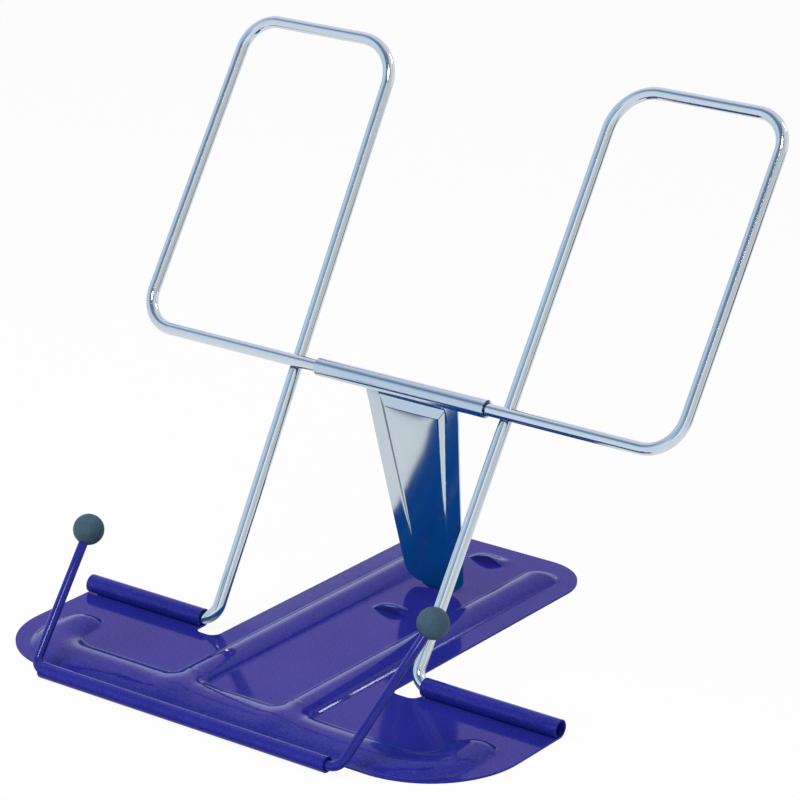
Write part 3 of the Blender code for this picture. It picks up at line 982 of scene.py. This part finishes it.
    def press(self, work: BMesh) -> None:
        """Press the beads, the slightly raised left flange and the small pip.

        Args:
            work: Scored blank.
        """
        verts = list(work.verts)
        places = np.array([(vert.co.x, vert.co.y) for vert in verts])
        front, left, right = [bead.raw_height(places) for bead in self.beads()]
        tail = np.maximum(left, right)
        joined = np.where(np.minimum(front, tail) > -self.junction_reach,
                          soft_max(front, tail, self.junction_fillet),
                          np.maximum(front, tail))
        flange = np.clip((places[:, 0] - self.tail_x(-1)) / self.tail_bead_radius, 0, 1)
        flange *= (places[:, 0] < -self.tail_bead_x) * self.flange_rise
        flange *= np.clip(places[:, 1] / self.flange_run_in, 0, 1)
        height = np.where(joined < -self.flange_reach, flange,
                          soft_max(joined, flange, self.bead_fillet))
        apart = np.hypot(*(places - np.array(self.pip_place)).T) / self.pip_radius
        height += self.pip_height * np.where(apart < 1, (1 - apart ** 2) ** 2, 0.0)
        for vert, rise in zip(verts, height):
            vert.co.z += rise

    def build(self, paint: Material) -> Object:
        """Make the base.

        Args:
            paint: Finish of the base.

        Returns:
            The piece.
        """
        blank = SheetBlank(self.outline())
        blank.score_grid(*self.grid())
        self.open_slits(blank.work)
        self.press(blank.work)
        bmesh.ops.translate(blank.work, verts=blank.work.verts,
                            vec=(0, 0, self.stock.sheet / 2))
        blank.roll_edge(self.stock.roll_y, self.roll_left_x, self.roll_right_x,
                        self.stock.front_hinge, -self.roll_degrees, self.front_roll_steps)
        for low, high in ((self.wing_x(-1), -self.relief_outer_x),
                          (self.relief_outer_x, self.wing_x(1))):
            blank.roll_edge(0, low, high, self.stock.hinge, self.roll_degrees,
                            self.rear_roll_steps)
        bmesh.ops.recalc_face_normals(blank.work, faces=blank.work.faces)
        piece = add_piece("pressed_base", blank.work, paint, Body.BASE, "base_plate",
                          self.stock.sheet_sharp_degrees)
        add_thickness(piece, self.stock.sheet, self.rim)
        return piece


@dataclass
class BackrestWire:
    """Backrest bent from one wire: pins, legs, loops and the bar across the legs."""

    stock: Stock = field(default_factory=Stock)
    tilt: float = math.radians(31.3)
    leg_low_x: float = 39.2 * MM
    leg_top_x: float = 42.9 * MM
    loops_centre_x: float = 0.6 * MM
    loop_low_x: float = 102.9 * MM
    loop_top_x: float = 103.4 * MM
    bar_height: float = 86.6 * MM
    loop_height: float = 195.2 * MM
    low_bend: float = 12.0 * MM
    outer_bend: float = 11.0 * MM
    inner_bend: float = 14.5 * MM
    foot_bend: float = 5.5 * MM
    pin_end_x: float = 86.0 * MM

    @property
    def bar_offset(self) -> float:
        """Distance of the bar in front of the legs."""
        return 2 * self.stock.wire_radius + self.stock.gap

    def place(self, x: float, height: float, offset: float = 0.0) -> Vector:
        """Point of the backrest's own plane.

        Args:
            x: Place across.
            height: Distance up the legs.
            offset: Distance in front of the legs.

        Returns:
            The point.
        """
        up = Vector((0, math.sin(self.tilt), math.cos(self.tilt)))
        out = Vector((0, -math.cos(self.tilt), math.sin(self.tilt)))
        return self.stock.hinge + X_AXIS * x + up * height + out * offset

    def bar_point(self) -> Vector:
        """Middle of the bar."""
        return self.place(0, self.bar_height, self.bar_offset)

    def half(self, sign: int) -> list[Corner]:
        """Corners of one half, from the bar's corner to the hinge pin.

        Args:
            sign: -1 for the left, 1 for the right.

        Returns:
            The corners.
        """
        low, top, leg = (self.loops_centre_x + sign * x
                         for x in (self.loop_low_x, self.loop_top_x, self.leg_top_x))
        return [
            Corner(self.place(low, self.bar_height, self.bar_offset), self.low_bend),
            Corner(self.place(top, self.loop_height), self.outer_bend),
            Corner(self.place(leg, self.loop_height), self.inner_bend),
            Corner(self.place(sign * self.leg_low_x, 0), self.foot_bend),
            Corner(self.place(sign * self.pin_end_x, 0)),
        ]

    def build(self, chrome: Material) -> Object:
        """Make the backrest.

        Args:
            chrome: Finish of the wire.

        Returns:
            The piece.
        """
        work = WireBender(self.stock.wire_radius).bend(self.half(-1)[::-1] + self.half(1))
        return add_piece("bent_backrest", work, chrome, Body.BACKREST, "backrest_wire",
                         self.stock.wire_sharp_degrees)


@dataclass
class PropStrut:
    """Strut of one sheet: a sleeve round the bar, a plate with a panel and a foot."""

    stock: Stock = field(default_factory=Stock)
    sleeve_length: float = 65.0 * MM
    sleeve_x: float = 3.5 * MM
    sleeve_degrees: float = 322.0
    top_width: float = 36.6 * MM
    top_x: float = 4.8 * MM
    foot_width: float = 22.5 * MM
    foot_x: float = -2.4 * MM
    foot_radius: float = 6.0 * MM
    foot_point: float = 1.6 * MM
    foot_lift: float = 0.3 * MM
    panel_drop: float = 7.0 * MM
    panel_length: float = 57.0 * MM
    panel_top_width: float = 25.4 * MM
    panel_foot_width: float = 14.0 * MM
    slope_widths: tuple[float, ...] = (2.9 * MM, 1.6 * MM, 2.0 * MM, 2.8 * MM)
    slope_step: float = 0.25 * MM
    panel_rise: float = 1.6 * MM
    panel_fade: float = 0.3
    panel_crown: float = 0.15 * MM
    bow: float = 0.3 * MM
    camber: float = 0.3 * MM
    camber_start: float = 12.0 * MM
    right_steepening: float = 0.45
    slope_softness: float = 0.3
    pitch: float = 1.2 * MM
    rim: float = 0.14 * MM
    corner_steps: int = 12
    sleeve_steps: int = 44

    @property
    def mid_radius(self) -> float:
        """Radius of the sleeve's middle surface."""
        return self.stock.wire_radius + self.stock.gap + self.stock.strut_sheet / 2

    def foot_place(self) -> Vector:
        """Middle of the foot's edge, just in front of the middle stop."""
        front_y = self.stock.stop_middle_y - self.stock.gap - self.stock.strut_sheet
        return Vector((0, front_y, self.stock.sheet + self.foot_lift))

    def panel_sides(self, length: float) -> list[CutLine]:
        """Foot lines of the panel's slopes, going round from the top.

        Args:
            length: Length of the plate.

        Returns:
            Lines at the top, right, foot and left, with normals that point inwards.
        """
        lean = (self.foot_x - self.top_x) / length
        rows = []
        for drop, width in ((self.panel_drop, self.panel_top_width),
                            (self.panel_drop + self.panel_length, self.panel_foot_width)):
            middle = self.top_x + lean * drop
            rows.append([Vector((middle + half, -drop, 0)) for half in (-width / 2, width / 2)])
        top, foot = rows
        ring = [*top, *foot[::-1]]
        sides = []
        for first, second in zip(ring, ring[1:] + ring[:1]):
            run = (second - first).normalized()
            sides.append(CutLine(first, Vector((run.y, -run.x, 0))))
        return sides

    def press(self, work: BMesh, length: float) -> None:
        """Raise the panel, which runs out towards its foot, and bow the plate slightly.

        Args:
            work: Scored blank.
            length: Length of the plate.
        """
        sides = self.panel_sides(length)
        for vert in work.verts:
            drop = -vert.co.y
            along = min(max((drop - self.panel_drop) / self.panel_length, 0.0), 1.0)
            fade = (1 - self.panel_fade * along) * math.sqrt(1 - along ** 4)
            depths = [(vert.co - side.place).dot(side.normal) for side in sides]
            vert.co.z += self.bow * math.sin(math.pi * drop / length)
            across = 2 * (vert.co.x - self.top_x * (1 - drop / length)) / self.top_width
            vert.co.z -= self.camber * across ** 2 * min(drop / self.camber_start, 1.0)
            if min(depths) <= 0 or fade <= 0:
                continue
            widths = [width * fade for width in self.slope_widths]
            widths[1] *= 1 - self.right_steepening * along
            share = min(1.0, *[depth / width for depth, width in zip(depths, widths)])
            eased = share * share * (3 - 2 * share)
            soft = eased * self.slope_softness + share * (1 - self.slope_softness)
            inside = min(min(depths) / (self.panel_foot_width / 2), 1.0)
            crown = self.panel_crown * math.sin(inside * math.pi / 2)
            vert.co.z += (self.panel_rise * fade + crown * (1 - along)) * soft

    def build(self, bar: Vector, chrome: Material) -> Object:
        """Make the strut.

        Args:
            bar: Middle of the bar that it hangs on.
            chrome: Finish of the strut.

        Returns:
            The piece.
        """
        foot = self.foot_place()
        reach = (foot - bar).length
        length = math.sqrt(reach ** 2 - self.mid_radius ** 2)
        down = Matrix.Rotation(-math.asin(self.mid_radius / reach), 3, "X") @ (
            foot - bar).normalized()
        (top_left, top_right), (foot_left, foot_right), ends = (
            (middle - width / 2, middle + width / 2) for middle, width in
            ((self.top_x, self.top_width), (self.foot_x, self.foot_width),
             (self.sleeve_x, self.sleeve_length)))
        corners = [
            flat(top_left, 0),
            flat(foot_left, self.foot_point - length, self.foot_radius),
            flat(self.foot_x, -length, self.foot_radius),
            flat(foot_right, self.foot_point - length, self.foot_radius),
            flat(top_right, 0),
        ]
        blank = SheetBlank(rounded(corners, True, self.corner_steps))
        blank.score(self.panel_lines(length))
        blank.score_grid(spaced(top_left, top_right, self.pitch)[1:-1],
                         spaced(-length, 0, self.pitch)[1:-1])
        self.press(blank.work, length)
        for tip, root in ((ends[0], top_left), (ends[1], top_right)):
            anchor = min(blank.work.verts,
                         key=lambda vert: (vert.co - Vector((root, 0, 0))).length)
            blank.work.edges.new((anchor, blank.work.verts.new((tip, 0, 0))))
        blank.roll_edge(0, *ends, Z_AXIS * self.mid_radius, self.sleeve_degrees,
                        self.sleeve_steps)
        bmesh.ops.recalc_face_normals(blank.work, faces=blank.work.faces)
        axes = Matrix((X_AXIS, -down, X_AXIS.cross(-down))).transposed().to_4x4()
        seat = Matrix.Translation(bar) @ axes @ Matrix.Translation((0, 0, -self.mid_radius))
        bmesh.ops.transform(blank.work, matrix=seat, verts=blank.work.verts)
        piece = add_piece("pressed_strut", blank.work, chrome, Body.STRUT, "prop_strut",
                          self.stock.sheet_sharp_degrees)
        add_thickness(piece, self.stock.strut_sheet, self.rim)
        return piece

    def panel_lines(self, length: float) -> list[CutLine]:
        """Lines to score along the slopes of the panel of a plate of this length."""
        return [CutLine(side.place + side.normal * depth, side.normal)
                for side, width in zip(self.panel_sides(length), self.slope_widths)
                for depth in spaced(0, width + self.slope_step, self.slope_step)]


@dataclass
class PageHolder:
    """Page holder bent from one wire, with a ball on each prong."""

    stock: Stock = field(default_factory=Stock)
    root_xs: tuple[float, float] = (-61.6 * MM, 56.2 * MM)
    ball_xs: tuple[float, float] = (-64.8 * MM, 66.3 * MM)
    reaches: tuple[float, float] = (46.4 * MM, 49.2 * MM)
    angle: float = math.radians(49.3)
    bend: float = 4.0 * MM
    wire_sides: int = 28
    ball_radius: float = 4.9 * MM
    bore_depth: float = 6.0 * MM
    bore_gap: float = 0.1 * MM
    ball_sides: int = 64

    def prong(self, side: int) -> tuple[Vector, Vector]:
        """Root and ball centre of a prong, 0 for the left and 1 for the right."""
        rise = Vector((0, math.cos(self.angle), math.sin(self.angle))) * self.reaches[side]
        return (self.stock.front_hinge + X_AXIS * self.root_xs[side],
                self.stock.front_hinge + rise + X_AXIS * self.ball_xs[side])

    def build_wire(self, paint: Material) -> Object:
        """Make the wire.

        Args:
            paint: Finish of the wire.

        Returns:
            The piece.
        """
        inset = self.bore_depth - self.ball_radius - self.stock.gap
        (left_root, left_tip), (right_root, right_tip) = self.prong(0), self.prong(1)
        corners = [
            Corner(left_tip + (left_tip - left_root).normalized() * inset),
            Corner(left_root, self.bend),
            Corner(right_root, self.bend),
            Corner(right_tip + (right_tip - right_root).normalized() * inset),
        ]
        work = WireBender(self.stock.holder_radius, self.wire_sides).bend(corners)
        return add_piece("bent_page_holder", work, paint, Body.PAGE_HOLDER, "page_holder",
                         self.stock.wire_sharp_degrees)

    def build_ball(self, side: int, node: str, rubber: Material) -> Object:
        """Turn a ball with its blind bore.

        Args:
            side: 0 for the left, 1 for the right.
            node: Solid that the ball stands for.
            rubber: Finish of the ball.

        Returns:
            The piece.
        """
        root, tip = self.prong(side)
        bore = self.stock.holder_radius + self.bore_gap
        mouth = -math.acos(bore / self.ball_radius)
        steps = self.ball_sides // 2
        profile = []
        for step in range(steps + 1):
            angle = math.pi / 2 + (mouth - math.pi / 2) * step / steps
            profile.append((self.ball_radius * math.cos(angle) * (step > 0),
                            self.ball_radius * math.sin(angle)))
        floor = self.bore_depth - self.ball_radius
        profile += [(bore, floor), (0.0, floor)]
        work = bmesh.new()
        verts = [work.verts.new((radius, 0, z)) for radius, z in profile]
        edges = [work.edges.new(pair) for pair in zip(verts, verts[1:])]
        bmesh.ops.spin(work, geom=[*verts, *edges], cent=(0, 0, 0), axis=Z_AXIS,
                       angle=2 * math.pi, steps=self.ball_sides, use_merge=True)
        bmesh.ops.remove_doubles(work, verts=work.verts, dist=SAME / 10)
        bmesh.ops.recalc_face_normals(work, faces=work.faces)
        bmesh.ops.transform(work, verts=work.verts,
                            matrix=Matrix.Translation(tip) @ turn_from_z(tip - root))
        return add_piece("turned_" + node, work, rubber, Body.PAGE_HOLDER, node,
                         self.stock.wire_sharp_degrees)

    def build(self, paint: Material, rubber: Material) -> None:
        """Make the wire and both balls.

        Args:
            paint: Finish of the wire.
            rubber: Finish of the balls.
        """
        self.build_wire(paint)
        self.build_ball(0, "left_ball_tip", rubber)
        self.build_ball(1, "right_ball_tip", rubber)


# Studio

# What the surfaces mirror, by direction, with X to the right, Y to the rear and Z up.
# Each zone lies over those before it.
TENT = Shade(Edge("Y", -0.62, -0.42), (0.80, 0.86, 0.86, 1), (0.62, 0.63, 0.61, 1))
LEFT_TO_RIGHT = Edge("X", -0.38, -0.12)
ZONES = (
    Zone("blue left front", (Edge("Y", 0.12, -0.10), Edge("X", 0.04, -0.12)),
         Shade(Edge("Z", 0.42, 0.56), (0.68, 0.77, 0.86, 1), Shade(
             Edge("X", -0.85, -0.25), (0.58, 0.69, 0.80, 1), (0.32, 0.50, 0.72, 1)))),
    Zone("dark seam in front",
         (Edge("Y", 0.12, -0.10), Edge("X", -0.02, 0.05), Edge("X", 0.28, 0.21),
          Edge("Z", 0.20, 0.35)), (0.07, 0.17, 0.33, 1)),
    Zone("far left", (Edge("X", -0.70, -0.90),), (0.58, 0.67, 0.76, 1)),
    Zone("low rear", (Edge("Y", 0.15, 0.45), Edge("Z", 0.60, 0.45)),
         Shade(LEFT_TO_RIGHT, (0.73, 0.62, 0.94, 1), (0.66, 0.67, 0.73, 1))),
    Zone("bright horizon behind", (Edge("Y", 0.30, 0.60), Edge("Z", 0.36, 0.20)),
         Shade(LEFT_TO_RIGHT, (1.05, 1.12, 1.30, 1), (0.84, 0.86, 0.92, 1))),
    Zone("dark roof", (Edge("Z", 0.60, 0.72), Edge("Y", 0.10, -0.45)),
         (0.15, 0.21, 0.31, 1)),
    Zone("beam in the roof",
         (Edge("Z", 0.70, 0.74), Edge("Y", 0.22, 0.28), Edge("Y", 0.42, 0.34)),
         (0.82, 0.86, 0.90, 1)),
    Zone("light crest behind",
         (Edge("Y", 0.02, 0.22), Edge("Z", 0.50, 0.62), Edge("Z", 0.92, 0.66)),
         (0.78, 0.81, 0.88, 1)),
    Zone("small lamp behind",
         (Edge("Y", 0.675, 0.690), Edge("Y", 0.745, 0.728), Edge("X", 0.225, 0.275),
          Edge("Z", 0.50, 0.55)), (24.0, 24.0, 25.0, 1)),
)


@dataclass(frozen=True)
class Lamp:
    """A square soft lamp that points at the stand and doesn't show in reflections."""

    name: str
    place: tuple[float, float, float]
    side: float
    watts: float
    colour: tuple[float, float, float]
    aim: tuple[float, float, float] = (0.0, 0.02, 0.05)

    def hang(self) -> None:
        """Hang the lamp."""
        lamp = bpy.data.lights.new(self.name, "AREA")
        lamp.shape = "SQUARE"
        lamp.size = self.side
        lamp.energy = self.watts
        lamp.color = self.colour
        holder = put_in_scene(self.name, lamp)
        holder.visible_glossy = False
        away = Vector(self.aim) - Vector(self.place)
        holder.matrix_world = Matrix.Translation(self.place) @ away.to_track_quat(
            "-Z", "Y").to_matrix().to_4x4()


@dataclass(frozen=True)
class Floor:
    """White floor that keeps a soft shadow, with painted shade below the base and painted tints
    of shade and light where the surfaces mirror it.
    """

    side: float = 8.0
    drop: float = 0.05 * MM
    roughness: float = 0.9
    glow_share: float = 0.93
    white: Colour = (0.86, 0.86, 0.86, 1)
    white_to_eye: Colour = (1, 1, 1, 1)
    # Painted shade under the base: a dark floor colour, and a dark violet glow to the eye.
    below: Colour = (0.01, 0.01, 0.05, 1)
    below_to_eye: Colour = (0.012, 0.012, 0.11, 1)
    covered: tuple[tuple[float, ...], ...] = (
        (-70 * MM, 70 * MM, -50 * MM, -8 * MM), (-28 * MM, 26 * MM, -50 * MM, 104 * MM))
    # Painted reflection: tints that the open floor shows in mirrors, darker in a second
    # reflection.
    flat_tints: tuple[Colour, Colour] = ((0.74, 0.79, 0.83, 1), (0.03, 0.05, 0.12, 1))
    steep_tints: tuple[Colour, Colour] = ((0.80, 0.82, 0.80, 1), (0.34, 0.35, 0.40, 1))
    steep_slants: tuple[float, float] = (0.62, 0.35)
    near_shade_tint: Colour = (0.16, 0.17, 0.22, 1)
    near_reach: tuple[float, float] = (4 * MM, 45 * MM)
    touching_light_tint: Colour = (0.60, 0.62, 0.67, 1)
    touching_reach: tuple[float, float] = (1.5 * MM, 4 * MM)
    band_shade_tint: Colour = (0.10, 0.11, 0.13, 1)
    band_slopes: tuple[float, float] = (0.55, -0.8)
    band_offset: float = 0.07
    band_half_widths: tuple[float, float] = (0.16, 0.10)
    band_start: Edge = Edge("X", 0.22, 0.32)

    def uncovered(self, sheet: NodeSheet, place: Node) -> NodeSocket:
        """Mask of the floor that is 0 below the wings and the tail, where shade is painted.

        Args:
            sheet: Node sheet of the floor's material.
            place: Separate XYZ node of the place.

        Returns:
            The mask.
        """
        masks = []
        for low_x, high_x, low_y, high_y in self.covered:
            gaps = []
            for axis, low, high in (("X", low_x, high_x), ("Y", low_y, high_y)):
                away = sheet.calculate("ABSOLUTE", sheet.calculate(
                    "SUBTRACT", place.outputs[axis], (low + high) / 2))
                gaps.append(sheet.calculate("LESS_THAN", away, (high - low) / 2))
            masks.append(sheet.product(*gaps))
        return sheet.calculate("SUBTRACT", 1.0, sheet.calculate("MAXIMUM", *masks))

    def mirrored_tint(self, sheet: NodeSheet, seen: Node,
                      place: Node) -> NodeSocket:
        """Painted reflection: colour of the open floor to the surfaces that mirror it, darker
        in a second reflection, near the surfaces and in a band, and lighter where it nearly
        touches them.

        Args:
            sheet: Node sheet of the floor's material.
            seen: Light Path node.
            place: Separate XYZ node of the place.

        Returns:
            The colour.
        """
        slant = sheet.add("LayerWeight", Blend=0.5).outputs["Facing"]
        again = mirrored_again(sheet, seen)
        tint = sheet.blend(sheet.ramp(slant, *self.steep_slants),
                           sheet.blend(again, *self.flat_tints),
                           sheet.blend(again, *self.steep_tints))
        # Painted shade near the surfaces, and painted light where the floor nearly touches
        # them.
        for reach, colour in ((self.near_reach, self.near_shade_tint),
                              (self.touching_reach, self.touching_light_tint)):
            tint = sheet.blend(sheet.ramp(seen.outputs["Ray Length"], *reach), colour, tint)
        # Painted shade: a dark band across the mirrored floor.
        x_slope, y_slope = self.band_slopes
        across = sheet.calculate("MULTIPLY_ADD", place.outputs["Y"], y_slope, sheet.calculate(
            "MULTIPLY_ADD", place.outputs["X"], x_slope, self.band_offset))
        band = sheet.ramp(sheet.calculate("ABSOLUTE", across), *self.band_half_widths)
        return sheet.blend(sheet.product(band, sheet.mask(place, self.band_start)), tint,
                           self.band_shade_tint)

    def material(self) -> Material:
        """Make the floor's material."""
        material, sheet, matt = start_material("white floor")
        place = sheet.add("SeparateXYZ", Vector=sheet.add("TexCoord").outputs["Object"])
        seen = sheet.add("LightPath")
        uncovered = self.uncovered(sheet, place)
        # Painted shade: under the base the floor is dark, and the eye sees it glow dark violet.
        sheet.set_up(matt, Base_Color=sheet.blend(uncovered, self.below, self.white),
                     Roughness=self.roughness, Specular_IOR_Level=0.0)
        glow = sheet.add("Emission", Strength=1.0, Color=sheet.blend(
            uncovered, self.below_to_eye, self.white_to_eye))
        share = sheet.calculate("MULTIPLY_ADD", uncovered, self.glow_share - 1, 1.0)
        lit = sheet.mix_shaders(sheet.product(share, seen.outputs["Is Camera Ray"]),
                                matt.outputs[0], glow.outputs[0])
        # Painted reflection: surfaces mirror the tints above, and see the floor under the base
        # as dark.
        mirrored = sheet.add("Emission", Strength=1.0, Color=sheet.blend(
            uncovered, self.below, self.mirrored_tint(sheet, seen, place)))
        both = sheet.mix_shaders(seen.outputs["Is Glossy Ray"], lit, mirrored.outputs[0])
        sheet.set_up(material.node_tree.nodes["Material Output"], Surface=both)
        return material

    def lay(self) -> None:
        """Lay the floor just below the stand."""
        work = bmesh.new()
        bmesh.ops.create_grid(work, x_segments=1, y_segments=1, size=self.side / 2)
        bmesh.ops.translate(work, verts=work.verts, vec=(0, 0, -self.drop))
        mesh = bpy.data.meshes.new("floor")
        work.to_mesh(mesh)
        work.free()
        mesh.materials.append(self.material())
        put_in_scene("floor", mesh)


@dataclass
class Studio:
    """Camera, floor, lamps and surroundings."""

    azimuth: float = math.radians(36.507)
    elevation: float = math.radians(19.913)
    roll: float = math.radians(0.313)
    camera_place: tuple[float, float, float] = (0.61482, -0.79118, 0.44922)
    lens: float = 158.389
    sensor_width: float = 36.0
    shift_x: float = 0.01369
    clip: tuple[float, float] = (0.01, 50.0)
    lamps: tuple[Lamp, ...] = (
        Lamp("key", (-0.3, -0.5, 1.35), 0.9, 13.0, (1.0, 0.99, 0.97)),
        Lamp("fill", (1.1, -0.9, 0.9), 0.8, 2.0, (0.95, 0.97, 1.0)),
        Lamp("low front", (-0.2, -1.3, 0.30), 0.8, 3.0, (1.0, 1.0, 1.0)))
    mirrored_lamp_aim: tuple[float, float, float] = (0.29, -0.50, 0.817)
    mirrored_lamp_degrees: tuple[float, float] = (7.5, 4.0)
    mirrored_lamp_colour: Colour = (22.0, 22.0, 22.4, 1)
    ambient: Colour = (0.44, 0.45, 0.48, 1)
    white: Colour = (1, 1, 1, 1)
    second_mirror_share: float = 0.3

    def sight(self) -> tuple[Vector, Vector, Vector]:
        """Right, up and backward axes of the camera."""
        back = Vector((math.sin(self.azimuth) * math.cos(self.elevation),
                       -math.cos(self.azimuth) * math.cos(self.elevation),
                       math.sin(self.elevation)))
        level = Vector((math.cos(self.azimuth), math.sin(self.azimuth), 0))
        rise = back.cross(level)
        right = level * math.cos(self.roll) + rise * math.sin(self.roll)
        return right, back.cross(right), back

    def place_camera(self) -> None:
        """Set up the camera at the photograph's viewing angle."""
        lens = bpy.data.cameras.new("camera")
        lens.sensor_width = self.sensor_width
        lens.lens = self.lens
        lens.shift_x = self.shift_x
        lens.clip_start, lens.clip_end = self.clip
        camera = put_in_scene("camera", lens)
        camera.matrix_world = (Matrix.Translation(self.camera_place)
                               @ Matrix(self.sight()).transposed().to_4x4())
        bpy.context.scene.camera = camera

    def surround(self) -> None:
        """Make the surroundings: white to the eye, a soft studio to the surfaces."""
        world = bpy.data.worlds.new("studio")
        world.use_nodes = True
        bpy.context.scene.world = world
        sheet = NodeSheet(world.node_tree)
        way = sheet.add("TexCoord").outputs["Generated"]
        axes = sheet.add("SeparateXYZ", Vector=way)
        studio = sheet.shaded(axes, TENT)
        for zone in ZONES:
            studio = sheet.blend(sheet.mask(axes, *zone.edges), studio,
                                 sheet.shaded(axes, zone.colour))
            studio.node.label = zone.name
        towards = sheet.add("VectorMath", operation="DOT_PRODUCT", Vector=way)
        towards.inputs[1].default_value = Vector(self.mirrored_lamp_aim).normalized()
        lamp = sheet.ramp(towards.outputs["Value"], *[
            math.cos(math.radians(degrees)) for degrees in self.mirrored_lamp_degrees])
        studio = sheet.blend(lamp, studio, self.mirrored_lamp_colour)
        seen = sheet.add("LightPath")
        again = mirrored_again(sheet, seen)
        faint = sheet.add("VectorMath", operation="SCALE", Vector=studio,
                          Scale=self.second_mirror_share)
        reflected = sheet.blend(again, studio, faint.outputs[0])
        mirrored = sheet.blend(seen.outputs["Is Glossy Ray"], self.ambient, reflected)
        colour = sheet.blend(seen.outputs["Is Camera Ray"], mirrored, self.white)
        sheet.set_up(world.node_tree.nodes["Background"], Color=colour, Strength=1.0)

    def build(self) -> None:
        """Set up the whole studio."""
        self.place_camera()
        Floor().lay()
        self.surround()
        for lamp in self.lamps:
            lamp.hang()
        bpy.context.scene.view_settings.view_transform = "Standard"


def main() -> None:
    """Build the book stand and its studio."""
    logging.basicConfig(level=logging.INFO, format="%(message)s")
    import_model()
    groups = EffectGroups()
    Studio().build()
    BasePlate().build(VIOLET_PAINT.build(groups))
    backrest = BackrestWire()
    backrest.build(CHROME.build(groups))
    PropStrut().build(backrest.bar_point(), STRUT_CHROME.build(groups))
    PageHolder().build(HOLDER_PAINT.build(groups), GREY_RUBBER.build(groups))
    bpy.context.view_layer.update()


if __name__ == "__main__":
    main()
